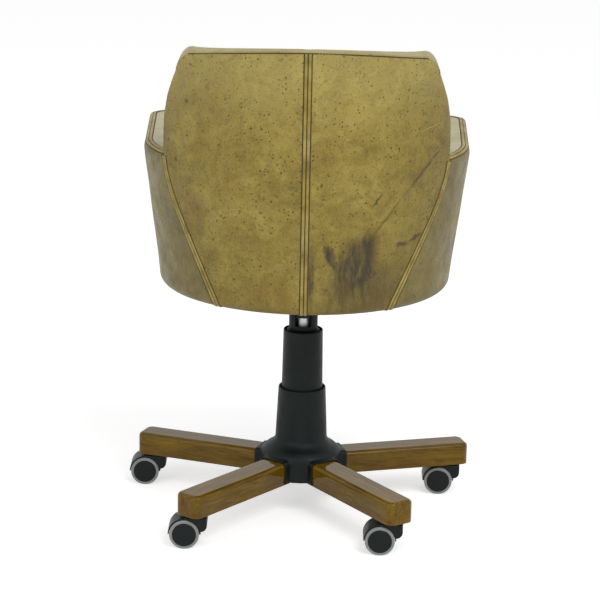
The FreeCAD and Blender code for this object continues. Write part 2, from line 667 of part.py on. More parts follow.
def make_knob():
    top = KNOB_LOW + KNOB_HEIGHT
    knob = rod(KNOB_R, KNOB_LOW, top, 0, KNOB_Y)
    knob = fillet_where(knob, KNOB_EDGE, lambda edge: edge.Curve.TypeId == "Part::GeomCircle")
    for index in range(KNOB_FLUTES):
        angle = math.radians(360.0 / KNOB_FLUTES * index)
        reach = KNOB_R + KNOB_FLUTE_R / 2
        knob = knob.cut(rod(KNOB_FLUTE_R, KNOB_LOW - 1, top + 1,
                            reach * math.cos(angle), KNOB_Y + reach * math.sin(angle)))
    bolt = rod(KNOB_BOLT_R, KNOB_LOW + KNOB_EDGE, KNOB_BOLT_TOP, 0, KNOB_Y)
    return knob.fuse(bolt).removeSplitter()


# Tub

def level(z):
    """Half width, rear, widest and front values of the outline at height z."""
    if z <= ARM_Z:
        share = (z - RIM_Z) / (ARM_Z - RIM_Z)
        low = (RIM_HALF, RIM_REAR, RIM_WIDEST_Y, RIM_FRONT_HALF, RIM_FRONT)
        high = (ARM_HALF, ARM_REAR, ARM_WIDEST_Y, ARM_FRONT_HALF, ARM_FRONT)
    else:
        share = (z - ARM_Z) / (BACK_Z - ARM_Z)
        low = (ARM_HALF, ARM_REAR, ARM_WIDEST_Y, ARM_FRONT_HALF, ARM_FRONT)
        high = (BACK_HALF, BACK_REAR, BACK_WIDEST_Y, ARM_FRONT_HALF, ARM_FRONT)
    return [a + share * (b - a) for a, b in zip(low, high)]


def outline(z, inset, front=None):
    """Closed plan wire of the tub at height z, moved inwards by inset."""
    half, rear, widest, front_half, front_y = level(z)
    a = half - inset
    b = rear - widest - inset
    flare = (front_half - half) / (widest - front_y)
    yf = front_y if front is None else front
    corner = FRONT_ROUND
    turn = corner * ARC_SHARE
    side_y = yf + corner
    af = a + flare * (widest - side_y)
    points = []
    for step in range(ARC_POINTS + 1):
        angle = math.pi * step / ARC_POINTS
        points.append(V(a * math.cos(angle), widest + b * math.sin(angle), z))
    curve = Part.BSplineCurve()
    curve.interpolate(Points=points, InitialTangent=V(0, 1, 0), FinalTangent=V(0, -1, 0))
    left = V(-af, side_y, z)
    right = V(af, side_y, z)
    left_in = V(-af + corner, yf, z)
    right_in = V(af - corner, yf, z)
    edges = [
        curve.toShape(),
        Part.makeLine(V(-a, widest, z), left),
        Part.Arc(left, V(-af + turn, yf + turn, z), left_in).toShape(),
        Part.makeLine(left_in, right_in),
        Part.Arc(right_in, V(af - turn, yf + turn, z), right).toShape(),
        Part.makeLine(right, V(a, widest, z)),
    ]
    return Part.Wire(edges)


def tub(inset, low=RIM_Z, high=BACK_Z, front=None):
    """Solid inside the outline moved inwards by inset."""
    middle = min(high, ARM_Z)
    solid = Part.makeLoft([outline(low, inset, front), outline(middle, inset, front)], True, True)
    if high > ARM_Z:
        upper = Part.makeLoft([outline(ARM_Z, inset, front), outline(high, inset, front)], True, True)
        solid = solid.fuse(upper)
    return solid


def hollow(inset):
    """The same, reaching past the rim, the top and the front, to cut with."""
    return tub(inset, RIM_Z - CUT_PAST, BACK_Z + CUT_PAST, ARM_FRONT - CUT_FAR)


def back_face(inset):
    """Rear elevation of the back, narrowed by inset, as a face on the XZ plane."""
    slope = (BACK_SHOULDER_HALF - BACK_LOWER_HALF) / (BACK_SHOULDER_Z - RIM_Z)
    low_z = RIM_Z - CUT_PAST
    low = BACK_LOWER_HALF - CUT_PAST * slope
    crown = BACK_CROWN_Z - inset
    side = [
        V(low - inset, 0, low_z),
        V(BACK_SHOULDER_HALF - inset, 0, BACK_SHOULDER_Z),
        V(BACK_WIDE_HALF - inset, 0, ARM_Z),
        V(BACK_WIDE_HALF - inset, 0, ARM_Z + BACK_WIDE_RISE),
        V(BACK_TAPER_HALF - inset, 0, BACK_TAPER_Z),
        V(BACK_TOP_HALF - inset, 0, BACK_TOP_SIDE_Z),
    ]
    inner_x = BACK_TOP_HALF - BACK_CORNER_WIDE - inset
    corner_in = V(inner_x, 0, crown - inner_x ** 2 / (2 * BACK_CROWN_R))
    corner_rise = corner_in.z - BACK_TOP_SIDE_Z
    corner = V(BACK_TOP_HALF - inset - BACK_CORNER_WIDE * ARC_SHARE, 0,
               BACK_TOP_SIDE_Z + corner_rise * (1 - ARC_SHARE))
    other = [V(-point.x, 0, point.z) for point in side]
    edges = [Part.makeLine(p, q) for p, q in zip(side, side[1:])]
    edges.append(Part.Arc(side[-1], corner, corner_in).toShape())
    mirror_in = V(-corner_in.x, 0, corner_in.z)
    edges.append(Part.Arc(corner_in, V(0, 0, crown), mirror_in).toShape())
    edges.append(Part.Arc(mirror_in, V(-corner.x, 0, corner.z), other[-1]).toShape())
    edges.extend(Part.makeLine(p, q) for p, q in zip(reversed(other), list(reversed(other))[1:]))
    edges.append(Part.makeLine(other[0], side[0]))
    return Part.Face(Part.Wire(edges))


def back_region(inset):
    region = back_face(inset).extrude(V(0, BACK_REAR + CUT_FAR - BACK_MODULE_Y - inset, 0))
    region.translate(V(0, BACK_MODULE_Y + inset, 0))
    return region


def below_arm_top(inset):
    """Everything below the arms' top, and behind the wall's front end."""
    reach = ARM_FRONT_HALF + CUT_FAR
    rear = BACK_REAR + CUT_FAR
    low = RIM_Z - CUT_PAST
    tall = ARM_Z - inset
    corners = [
        (RIM_FRONT + inset + FRONT_LEAN * (low - RIM_Z), low),
        (RIM_FRONT + inset + FRONT_LEAN * (tall - RIM_Z), tall),
        (rear, tall),
        (rear, low),
    ]
    wire = Part.makePolygon([V(-reach, y, z) for y, z in corners + corners[:1]])
    return Part.Face(wire).extrude(V(2 * reach, 0, 0))


FRONT_LEAN = (ARM_FRONT - RIM_FRONT) / (ARM_Z - RIM_Z)
PAD_LOW = RIM_Z + BOARD + SEAT_GAP
FRAME_IN = LEATHER + FRAME_WALL


def halves(shape):
    """Split into the parts on either side of the middle plane."""
    reach = ARM_FRONT_HALF + CUT_FAR
    top = BACK_Z + CUT_FAR
    plus = shape.common(box(0, reach, -reach, reach, 0, top))
    minus = shape.common(box(-reach, 0, -reach, reach, 0, top))
    return plus, minus


def body_region(inset):
    """Where the frame and the outer leather reach, short of the pads' folds by inset."""
    return below_arm_top(inset).fuse(back_region(inset))


def make_outer_back():
    """Leather panels of the back, left and right of the centre seam."""
    skin = tub(0).cut(hollow(LEATHER)).common(body_region(CAP_DEPTH + SEAT_GAP))
    return halves(skin.common(back_region(0)))


def make_outer_arms():
    inset = CAP_DEPTH + SEAT_GAP
    skin = tub(0, RIM_Z, ARM_Z).cut(hollow(LEATHER))
    return halves(skin.common(below_arm_top(inset)).cut(back_region(-SEAT_GAP)))


def make_shell_frame():
    """Moulded wood tub between the leather and the padding, with its front rail."""
    wall = tub(LEATHER + SEAT_GAP).cut(hollow(FRAME_IN))
    frame = wall.common(body_region(CAP_DEPTH + SEAT_GAP))
    rail_rear = BOARD_FRONT - SEAT_GAP
    rail = tub(LEATHER + SEAT_GAP, RIM_Z, RIM_Z + BOARD, ARM_FRONT)
    reach = ARM_FRONT_HALF
    rail = rail.common(box(-reach, reach, rail_rear - RAIL_THICK, rail_rear, RIM_Z, RIM_Z + BOARD))
    return frame.fuse(rail).removeSplitter()


def body_room():
    """Room that the frame and the outer leather take out of the padding."""
    return body_region(CAP_DEPTH).cut(hollow(FRAME_IN + SEAT_GAP))


def above_board(shape):
    reach = ARM_FRONT_HALF + CUT_FAR
    return shape.common(box(-reach, reach, -reach, reach, PAD_LOW, BACK_Z + CUT_FAR))


def make_inner_back():
    """Padding and inner leather of the back, folded over the frame's top and sides."""
    wall = tub(0).cut(hollow(WALL)).common(back_region(0))
    return above_board(wall.cut(body_room()))


def make_inner_arms():
    """Padding of the arms, folded over the frame's top and front ends, with a rounded inner top."""
    wall = tub(0, RIM_Z, ARM_Z).cut(hollow(WALL)).cut(back_region(-SEAT_GAP))
    front = ARM_FRONT - CUT_PAST
    slope = Part.makeLoft([outline(z, inset, front) for z, inset in ARM_SLOPE], True, True)
    wall = wall.cut(slope)
    return halves(above_board(wall.cut(body_room())))


def make_board():
    board = tub(FRAME_IN + SEAT_GAP, RIM_Z, RIM_Z + BOARD)
    reach = ARM_FRONT_HALF
    board = board.common(box(-reach, reach, BOARD_FRONT, reach, RIM_Z, RIM_Z + BOARD))
    for x, y in mount_bolt_places():
        board = board.cut(rod(MOUNT_BOLT_R, RIM_Z - 1, TOP_PLATE_LOW + MOUNT_BOLT_GRIP, x, y))
    return board


def make_cushion():
    """Seat cushion with its upper edge rounded in steps."""
    levels = [(PAD_LOW, CUSHION_FOOT), (PAD_LOW + CUSHION_FOOT, 0.0)]
    for step in range(CUSHION_STEPS + 1):
        angle = math.pi / 2 * step / CUSHION_STEPS
        rise = CUSHION_ROUND * (1 - math.sin(angle))
        levels.append((CUSHION_TOP - rise, CUSHION_ROUND * (1 - math.cos(angle))))
    wires = []
    for z, back_off in levels:
        wires.append(outline(z, WALL + LOOSE_GAP + back_off, CUSHION_FRONT + back_off))
    return Part.makeLoft(wires, True, True)


def build():
    os.makedirs("parts", exist_ok=True)
    export("base_hub", make_hub())
    leg = make_leg()
    bolts = [make_leg_bolt(radius) for radius in LEG_BOLT_RADII]
    socket = make_socket()
    hood = make_hood()
    pins = make_pins()
    legs_bolts = []
    sockets = []
    for index in range(LEG_COUNT):
        angle = leg_angle(index)
        number = index + 1
        export("leg_%d" % number, turned(leg, angle))
        legs_bolts.extend(turned(bolt, angle) for bolt in bolts)
        sockets.append(turned(socket, angle))
        caster = "caster_%d_" % number
        export(caster + "hood", place_caster(hood, index))
        export(caster + "pins", *[place_caster(pin, index) for pin in pins])
        for name, side in (("left", 1), ("right", -1)):
            export(caster + "wheel_" + name, place_caster(make_wheel(side), index))
            export(caster + "tread_" + name, place_caster(make_tread(side), index))
    export("leg_bolts", *legs_bolts)
    export("caster_sockets", *sockets)
    export("hub_cover", make_hub_cover())
    export("column_tube", make_column_tube())
    export("column_bush", make_bush())
    export("thrust_bearing", *make_bearing())
    export("piston_rod", *make_piston_rod())
    export("gas_cylinder", make_gas_cylinder())
    export("cover_sleeve", make_cover_sleeve())
    export("cover_collar", make_cover_collar())
    export("mechanism_housing", make_housing())
    export("mechanism_top_plate", make_top_plate())
    export("tilt_pivot_pin", make_pivot_pin())
    export("tension_spring", make_spring())
    export("tension_knob", make_knob())
    export("height_lever", make_lever())
    export("mounting_bolts", *make_mount_bolts())
    export("seat_board", make_board())
    export("shell_frame", make_shell_frame())
    export("outer_back_panels", *make_outer_back())
    export("outer_arm_panels", *make_outer_arms())
    export("inner_back_pad", make_inner_back())
    export("inner_arm_pads", *make_inner_arms())
    export("seat_cushion", make_cushion())


build()
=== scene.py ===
import math

import bmesh
import bpy
from mathutils import Matrix, Vector, noise


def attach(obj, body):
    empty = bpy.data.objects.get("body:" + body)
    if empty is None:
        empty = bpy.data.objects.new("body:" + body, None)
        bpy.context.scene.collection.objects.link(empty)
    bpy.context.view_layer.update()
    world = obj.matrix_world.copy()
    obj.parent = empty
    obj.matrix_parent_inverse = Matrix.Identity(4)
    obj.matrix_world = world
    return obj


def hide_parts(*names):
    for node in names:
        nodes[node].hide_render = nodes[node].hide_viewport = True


MM = 0.001

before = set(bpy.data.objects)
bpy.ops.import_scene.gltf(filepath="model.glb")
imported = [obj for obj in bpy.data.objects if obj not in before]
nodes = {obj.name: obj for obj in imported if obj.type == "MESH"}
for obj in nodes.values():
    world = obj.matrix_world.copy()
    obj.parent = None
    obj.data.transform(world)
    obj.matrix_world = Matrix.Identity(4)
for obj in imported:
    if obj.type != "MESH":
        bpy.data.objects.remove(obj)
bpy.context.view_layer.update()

# Tub sizes in millimetres, as in the frame. An outline holds its half width, its rear, where it is
# widest, its half width at the front, and its front
RIM_Z = 400.0
ARM_Z = 650.0
BACK_Z = 845.0
OUTLINE_RIM = (249.0, 221.0, -26.0, 251.0, -268.0)
OUTLINE_ARM = (280.0, 248.0, -20.0, 291.0, -286.0)
OUTLINE_BACK = (262.0, 262.0, -20.0, 291.0, -286.0)
FRONT_ROUND = 26.0
WALL = 57.0
LEATHER = 3.5
CROWN_Z = 841.0
CROWN_R = 1050.0
BACK_MODULE_Y = 52.0
BOARD_TOP = 415.0
CUSHION_TOP = 500.0
CUSHION_FRONT = -272.0

# The back's half width at a few heights, from the rim to the top corner
BACK_SIDE = [
    (400.0, 141.0), (440.0, 159.0), (480.0, 177.0), (520.0, 195.0), (560.0, 212.5),
    (590.0, 223.5), (620.0, 231.5), (650.0, 236.0), (690.0, 236.3), (722.0, 235.5),
    (760.0, 230.0), (790.0, 221.5), (808.0, 215.0),
]
TOP_CORNER_Z = 808.0
TOP_CORNER_R = 33.0

# Rounding of edges, and sizes of the leather and its seams
SLACK = 0.4
SKIN = LEATHER + SLACK      # padding and wood lie this far inside the leather's outer face
BOTTOM_TUCK = 14.0
TUCK_TOP = RIM_Z + BOTTOM_TUCK
TUCK_STEPS = 6
TUCK_CLEAR = 3.0            # the back's plain rows start this far above the tuck
ROW_GAP = 4.0               # and those of the arms and the wood this far
HEMS = (16.0, 8.0)          # rows of the hem under the frame, past the tuck
BACK_TOP_ROUND = 13.0
BACK_SIDE_ROUND = 9.0
ARM_OUTER_ROUND = 15.0
ARM_INNER_ROUND = 22.0
SHOULDER_Z = ARM_Z - ARM_OUTER_ROUND
RIB_OFFSET = 3.1
RIB_HALF = 2.5
RIB_HEIGHT = 1.5
STITCH_OFFSET = 6.3
STITCH_LENGTH = 3.8
STITCH_PITCH = 4.8
STITCH_R = 0.65
STITCH_SLANT = 0.12
STITCH_ARCH = 1.6
GROOVE_HALF = 0.85
GROOVE_DEPTH = 0.8
GROOVE_RISE = 0.12
TOP_SEAM_DROP = 2.5
SEAM_STEP = 4.0
UP = Vector((0, 0, 1))
QUARTER = math.pi / 2
SIDES = (("left", 1), ("right", -1))


def lerp(a, b, t):
    return a + (b - a) * t


def clamp(value, low, high):
    return max(low, min(high, value))


def spread(low, high, count):
    """count + 1 evenly spaced values."""
    return [lerp(low, high, i / count) for i in range(count + 1)]


def rounding(past, radius):
    """How far an edge of that radius has turned in, past millimetres into its rounding."""
    share = clamp(past / radius, 0.0, 1.0)
    return radius * (1.0 - math.sqrt(1.0 - share * share))


# The tub's surfaces, all in millimetres

def level(z):
    """Half width, rear, widest, front half width and front of the plan outline at height z."""
    if z <= ARM_Z:
        return [lerp(a, b, (z - RIM_Z) / (ARM_Z - RIM_Z)) for a, b in zip(OUTLINE_RIM, OUTLINE_ARM)]
    return [lerp(a, b, (z - ARM_Z) / (BACK_Z - ARM_Z)) for a, b in zip(OUTLINE_ARM, OUTLINE_BACK)]


def rear_y(x, z, inset=0.0):
    """Y of the rear wall at x, moved inwards by inset."""
    half, rear, widest = level(z)[:3]
    share = clamp(x / (half - inset), -1.0, 1.0)
    return widest + (rear - widest - inset) * math.sqrt(1.0 - share * share)


def side_x(y, z, inset=0.0):
    """X of the left wall at y, behind the front corner."""
    half, rear, widest, front_half, front = level(z)
    if y <= widest:
        return half - inset + (front_half - half) * (widest - y) / (widest - front)
    share = clamp((y - widest) / (rear - widest - inset), -1.0, 1.0)
    return (half - inset) * math.sqrt(1.0 - share * share)


def back_half(z):
    """Half width of the back in rear elevation."""
    if z <= BACK_SIDE[0][0]:
        return BACK_SIDE[0][1]
    for (z0, w0), (z1, w1) in zip(BACK_SIDE, BACK_SIDE[1:]):
        if z <= z1:
            return lerp(w0, w1, (z - z0) / (z1 - z0))
    return BACK_SIDE[-1][1] - rounding(z - TOP_CORNER_Z, TOP_CORNER_R)


def tuck_rows(inset):
    """Height and inset of each row round the tucked lower edge."""
    rows = []
    for angle in spread(0.0, QUARTER, TUCK_STEPS):
        rows.append((RIM_Z + BOTTOM_TUCK * (1.0 - math.cos(angle)) + inset * math.cos(angle),
                     BOTTOM_TUCK * (1.0 - math.sin(angle)) + inset * math.sin(angle)))
    return rows


def crown(x):
    """Height of the back's top edge at x."""
    return CROWN_Z - x * x / (2.0 * CROWN_R)


def wave(x, y, z, size, amount):
    """Smooth unevenness of stretched leather."""
    return amount * noise.noise(Vector((x, y, z)) / size)


# Meshes

def add_object(name, data):
    piece = bpy.data.objects.new(name, data)
    bpy.context.scene.collection.objects.link(piece)
    return piece


def shade_smooth(mesh):
    for polygon in mesh.polygons:
        polygon.use_smooth = True


def finish_mesh(name, mesh, material):
    """A piece of the tub, which rides on the seat."""
    piece = add_object(name, mesh)
    mesh.materials.append(material)
    shade_smooth(mesh)
    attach(piece, "seat")
    return piece


def mesh_of(name, points, faces):
    """Mesh of points given in millimetres."""
    mesh = bpy.data.meshes.new(name)
    mesh.from_pydata([Vector(p) * MM for p in points], [], faces)
    work = bmesh.new()
    work.from_mesh(mesh)
    bmesh.ops.remove_doubles(work, verts=work.verts, dist=1e-6)
    bmesh.ops.recalc_face_normals(work, faces=work.faces)
    work.to_mesh(mesh)
    work.free()
    mesh.validate()
    return mesh


def grid_faces(rows, columns, start=0, closed=False):
    """Faces of a grid of points; closed joins its last column to its first."""
    faces = []
    for r in range(rows - 1):
        for c in range(columns if closed else columns - 1):
            d = (c + 1) % columns
            a = start + r * columns
            b = a + columns
            faces.append((a + c, a + d, b + d, b + c))
    return faces


def sheet_mesh(name, outer, inner):
    """Closed sheet between two grids of points of the same size."""
    rows = len(outer)
    columns = len(outer[0])
    points = [p for row in outer for p in row] + [p for row in inner for p in row]
    offset = rows * columns
    faces = grid_faces(rows, columns) + grid_faces(rows, columns, offset)
    border = list(range(columns))
    border += [r * columns + columns - 1 for r in range(1, rows)]
    border += [(rows - 1) * columns + c for c in range(columns - 2, -1, -1)]
    border += [r * columns for r in range(rows - 2, 0, -1)]
    for a, b in zip(border, border[1:] + border[:1]):
        faces.append((a, b, b + offset, a + offset))
    return mesh_of(name, points, faces)


def tube_mesh(name, rings):
    """Tube through rings of points, closed by a flat face at each end."""
    count = len(rings[0])
    points = [p for ring in rings for p in ring]
    faces = grid_faces(len(rings), count, closed=True)
    faces.append(tuple(range(count)))
    faces.append(tuple((len(rings) - 1) * count + i for i in range(count)))
    return mesh_of(name, points, faces)


# Seams: a path on the leather with the outward normal at each point

def tangents(path):
    out = []
    for i in range(len(path)):
        a = path[max(0, i - 1)]
        b = path[min(len(path) - 1, i + 1)]
        out.append((b - a).normalized())
    return out


def resample(path, normals, step):
    """Evenly spaced points on a path, with their normals."""
    lengths = [0.0]
    for a, b in zip(path, path[1:]):
        lengths.append(lengths[-1] + (b - a).length)
    count = max(2, round(lengths[-1] / step))
    points, ups = [], []
    k = 0
    for i in range(count + 1):
        want = lengths[-1] * i / count
        while k < len(path) - 2 and lengths[k + 1] < want:
            k += 1
        t = (want - lengths[k]) / max(lengths[k + 1] - lengths[k], 1e-9)
        points.append(path[k].lerp(path[k + 1], t))
        ups.append(normals[k].lerp(normals[k + 1], t).normalized())
    return points, ups


# Sections of a welt and of a seam line, as pairs of across and outward
RIB_OUTLINE = [(RIB_HALF * math.cos(a), RIB_HEIGHT * math.sin(a)) for a in spread(0.0, math.pi, 8)]
RIB_OUTLINE += [(-RIB_HALF, -RIB_HEIGHT), (RIB_HALF, -RIB_HEIGHT)]
# The seam line is a thin dark strip on the leather: painted shadow in the groove
GROOVE_OUTLINE = [(-GROOVE_HALF, -GROOVE_DEPTH), (-GROOVE_HALF, GROOVE_RISE),
                  (GROOVE_HALF, GROOVE_RISE), (GROOVE_HALF, -GROOVE_DEPTH)]


def strip(name, path, normals, outline, material):
    """Thin strip of that section along a seam."""
    rings = []
    for point, normal, way in zip(path, normals, tangents(path)):
        across = way.cross(normal).normalized()
        rings.append([point + across * a + normal * b for a, b in outline])
    return finish_mesh(name, tube_mesh(name, rings), material)


STITCH_RING = 6
# A stitch's rings: place along it in parts of its length, and width in parts of the thread's
STITCH_SHAPE = [(-0.5, 0.2), (-0.42, 0.75), (-0.2, 1.0), (0.2, 1.0), (0.42, 0.75), (0.5, 0.2)]


def stitches(name, path, normals):
    """A row of single thread stitches, each a short sausage that dips at its ends."""
    points, ups = resample(path, normals, STITCH_PITCH)
    verts, faces = [], []
    turns = [2.0 * math.pi * k / STITCH_RING for k in range(STITCH_RING)]
    for point, up, way in zip(points, ups, tangents(points)):
        across = way.cross(up).normalized()
        slant = (way + across * STITCH_SLANT).normalized()
        start = len(verts)
        for along, swell in STITCH_SHAPE:
            lift = STITCH_R * (STITCH_ARCH * swell - 1.0)
            middle = point + slant * (along * STITCH_LENGTH) + up * lift
            for a in turns:
                verts.append(middle + (across * math.cos(a) + up * math.sin(a)) * STITCH_R * swell)
        faces += grid_faces(len(STITCH_SHAPE), STITCH_RING, start, closed=True)
        last = start + (len(STITCH_SHAPE) - 1) * STITCH_RING
        faces.append(tuple(range(start, start + STITCH_RING)))
        faces.append(tuple(range(last, last + STITCH_RING)))
    return finish_mesh(name, mesh_of(name, verts, faces), THREAD_MATERIAL)


# Materials

def srgb(red, green, blue):
    """Linear colour of an sRGB colour given from 0 to 255."""
    out = []
    for value in (red, green, blue):
        v = value / 255.0
        out.append(v / 12.92 if v <= 0.04045 else ((v + 0.055) / 1.055) ** 2.4)
    return (*out, 1.0)


class Nodes:
    """Short ways to write the nodes of a material or of the world."""

    def __init__(self, tree):
        self.tree = tree
        tree.nodes.clear()

    def new(self, kind):
        return self.tree.nodes.new(kind)

    def join(self, source, target):
        if isinstance(source, bpy.types.NodeSocket):
            self.tree.links.new(source, target)
        else:
            target.default_value = source

    def node(self, kind, inputs, output=0, **settings):
        """Output of a new node with those settings and inputs."""
        node = self.new(kind)
        for name, value in settings.items():
            setattr(node, name, value)
        for key, value in inputs.items():
            self.join(value, node.inputs[key])
        return node.outputs[output]

    def run(self, kind, operation, values, output=0):
        return self.node(kind, dict(enumerate(values)), output, operation=operation)

    def times(self, a, b):
        return self.run("ShaderNodeMath", "MULTIPLY", (a, b))

    def most(self, *values):
        """The highest of several values."""
        high = values[0]
        for value in values[1:]:
            high = self.run("ShaderNodeMath", "MAXIMUM", (high, value))
        return high

    def total(self, *pairs):
        """Sum of values, each given with its weight."""
        out = self.times(*pairs[0])
        for pair in pairs[1:]:
            out = self.run("ShaderNodeMath", "ADD", (out, self.times(*pair)))
        return out

    def seen(self):
        """1 for the camera's, gloss and transmission rays, 0 for those that light the object."""
        path = self.new("ShaderNodeLightPath").outputs
        return self.most(path["Is Camera Ray"], path["Is Glossy Ray"], path["Is Transmission Ray"])


class Graph(Nodes):
    """A material's nodes; lengths in millimetres where nothing else is said."""

    def __init__(self, name):
        self.material = bpy.data.materials.new(name)
        self.material.use_nodes = True
        super().__init__(self.material.node_tree)
        out = self.new("ShaderNodeOutputMaterial")
        self.shader = self.new("ShaderNodeBsdfPrincipled")
        self.join(self.shader.outputs[0], out.inputs["Surface"])
        self.place = self.new("ShaderNodeTexCoord").outputs["Object"]

    def put(self, name, value):
        self.join(value, self.shader.inputs[name])

    def turned(self, place=None, at=(0, 0, 0), turn=(0, 0, 0), size=(1, 1, 1)):
        """Coordinates in a frame at that place in metres, turned, and divided by size."""
        inputs = {"Vector": place or self.place, "Location": at, "Rotation": turn, "Scale": size}
        return self.node("ShaderNodeMapping", inputs, vector_type="TEXTURE")

    def noise(self, size, detail=3.0, rough=0.55, place=None, warp=0.0, output="Fac"):
        """Value near 0.5 whose features are about that size."""
        return self.node("ShaderNodeTexNoise", {
            "Vector": place or self.place, "Scale": 1.0 / (size * MM), "Detail": detail,
            "Roughness": rough, "Distortion": warp}, output)

    def cells(self, size, feature="F1", output="Distance", place=None):
        inputs = {"Vector": place or self.place, "Scale": 1.0 / (size * MM)}
        return self.node("ShaderNodeTexVoronoi", inputs, output, feature=feature)

    def span(self, value, low, high, out_low=0.0, out_high=1.0):
        """value from low..high to out_low..out_high, smoothly and clamped."""
        inputs = {"Value": value, "From Min": low, "From Max": high, "To Min": out_low, "To Max": out_high}
        return self.node("ShaderNodeMapRange", inputs, interpolation_type="SMOOTHSTEP")

    def ramp(self, value, stops):
        node = self.new("ShaderNodeValToRGB")
        self.join(value, node.inputs[0])
        elements = node.color_ramp.elements
        while len(elements) < len(stops):
            elements.new(0.5)
        for element, (position, colour) in zip(elements, stops):
            element.position = position
            element.color = colour
        return node.outputs[0]

    def mix(self, share, a, b):
        return self.node("ShaderNodeMix", {"Factor": share, "A": a, "B": b}, "Result", data_type="RGBA")

    def bump(self, height, depth, normal=None, strength=1.0):
        """depth is the height's reach."""
        inputs = {"Strength": strength, "Distance": depth * MM, "Height": height}
        if normal is not None:
            inputs["Normal"] = normal
        return self.node("ShaderNodeBump", inputs)

    def wobble(self, amount, size, place=None):
        """Coordinates shifted at random by up to about amount."""
        source = place or self.place
        shift = self.noise(size, 3.0, 0.5, source, output="Color")
        shift = self.run("ShaderNodeVectorMath", "MULTIPLY_ADD",
                         (shift, (2.0 * amount * MM,) * 3, (-amount * MM,) * 3))
        return self.run("ShaderNodeVectorMath", "ADD", (source, shift))

    def height(self):
        """Height above the floor in metres."""
        return self.node("ShaderNodeSeparateXYZ", {0: self.place}, "Z")

    def blot(self, x, z, half_x, half_z, turn, soft, place):
        """1 inside an ellipse in rear elevation and 0 outside; turn is in degrees."""
        far = 10.0
        local = self.turned(place, (x * MM, 0, z * MM), (0, math.radians(turn), 0),
                            (half_x * MM, far, half_z * MM))
        reach = self.run("ShaderNodeVectorMath", "LENGTH", (local,), "Value")
        return self.span(reach, 1.0 - soft, 1.0, 1.0, 0.0)

    def blots(self, rows, place):
        """Several blots; each row ends with the blot's strength."""
        return self.most(*[self.times(self.blot(*row[:-1], place), row[-1]) for row in rows])


KHAKI_DARK = srgb(112, 93, 28)
KHAKI = srgb(137, 118, 42)
KHAKI_PALE = srgb(164, 145, 66)
BROWN_MOTTLE = srgb(98, 76, 22)
BROWN_SPECK = srgb(56, 40, 12)
TAN = srgb(126, 96, 28)
# Pale khaki painted on the upper back as a highlight of light from above
KHAKI_TOP_HIGHLIGHT = srgb(196, 180, 106)
# Pale leather painted as glare on the arm tops
ARM_TOP_GLARE = srgb(208, 204, 172)
GREY_STAIN = srgb(56, 47, 22)
# Duller olive painted as sheen on the sideways-facing arms
SHEEN_OLIVE = srgb(92, 88, 56)


def dots(g, size, radius, share, place):
    """Scattered spots: radius and the share of cells that have one, in parts of the cell size."""
    near = g.span(g.cells(size, place=place), radius * 0.45, radius, 1.0, 0.0)
    chance = g.node("ShaderNodeSeparateXYZ", {0: g.cells(size, output="Color", place=place)})
    return g.times(near, g.run("ShaderNodeMath", "LESS_THAN", (chance, share)))


def leather_colour(g, sheen_share=0.0):
    """Mottled khaki hide with pores, specks and tan patches, a painted highlight towards the top, and a
    painted sheen tint where asked.
    """
    tone = g.total((g.noise(150, 2.0, 0.5), 0.3), (g.noise(36, 5.0, 0.62, warp=0.8), 0.42),
                   (g.noise(5.5, 6.0, 0.74), 0.28))
    colour = g.ramp(tone, [(0.38, KHAKI_DARK), (0.49, KHAKI), (0.62, KHAKI_PALE)])
    tan = g.span(g.noise(95, 3.0, 0.6, g.turned(at=(0.4, 0.2, 0.7))), 0.5, 0.7, 0.0, 0.45)
    colour = g.mix(tan, colour, TAN)
    # Painted highlight: paler khaki from 0.68 m up, for the light on the back's upper band
    colour = g.mix(g.span(g.height(), 0.68, 0.83, 0.0, 0.4), colour, KHAKI_TOP_HIGHLIGHT)
    mottle = g.span(g.noise(11, 6.0, 0.76, g.turned(at=(0.1, 0.8, 0.5))), 0.53, 0.68, 0.0, 0.5)
    colour = g.mix(mottle, colour, BROWN_MOTTLE)
    pores = g.span(g.noise(2.6, 3.0, 0.6), 0.56, 0.68, 0.0, 0.5)
    colour = g.mix(pores, colour, BROWN_SPECK)
    shaken = g.wobble(1.4, 3.0)
    specks = g.most(dots(g, 6.5, 0.3, 0.45, shaken), dots(g, 17.0, 0.16, 0.5, shaken))
    where = g.span(g.noise(60, 2.0, 0.5, g.turned(at=(0.9, 0.1, 0.3))), 0.36, 0.56, 0.3, 0.85)
    colour = g.mix(g.times(specks, where), colour, BROWN_SPECK)
    # Painted sheen: a duller olive tint, mixed in by the share sheen_share
    if sheen_share:
        colour = g.mix(sheen_share, colour, SHEEN_OLIVE)
    return colour


def leather_surface(g, depth=1.0):
    """Grain, small creases and an uneven sheen."""
    grain = g.cells(1.5, "DISTANCE_TO_EDGE", place=g.wobble(0.8, 2.5))
    grain = g.span(grain, 0.0, 0.3)
    fine = g.noise(1.1, 3.0, 0.6)
    crease = g.span(g.noise(26, 4.0, 0.62, g.wobble(6, 30)), 0.46, 0.54)
    normal = g.bump(g.noise(38, 3.0, 0.5), 0.9)
    normal = g.bump(crease, 0.25, normal, 0.5)
    normal = g.bump(grain, 0.16 * depth, normal, 0.7)
    normal = g.bump(fine, 0.12 * depth, normal, 0.6)
    g.put("Normal", normal)
    g.put("Roughness", g.span(g.noise(22, 4.0, 0.6), 0.35, 0.65, 0.38, 0.54))
    g.put("Specular IOR Level", 0.4)


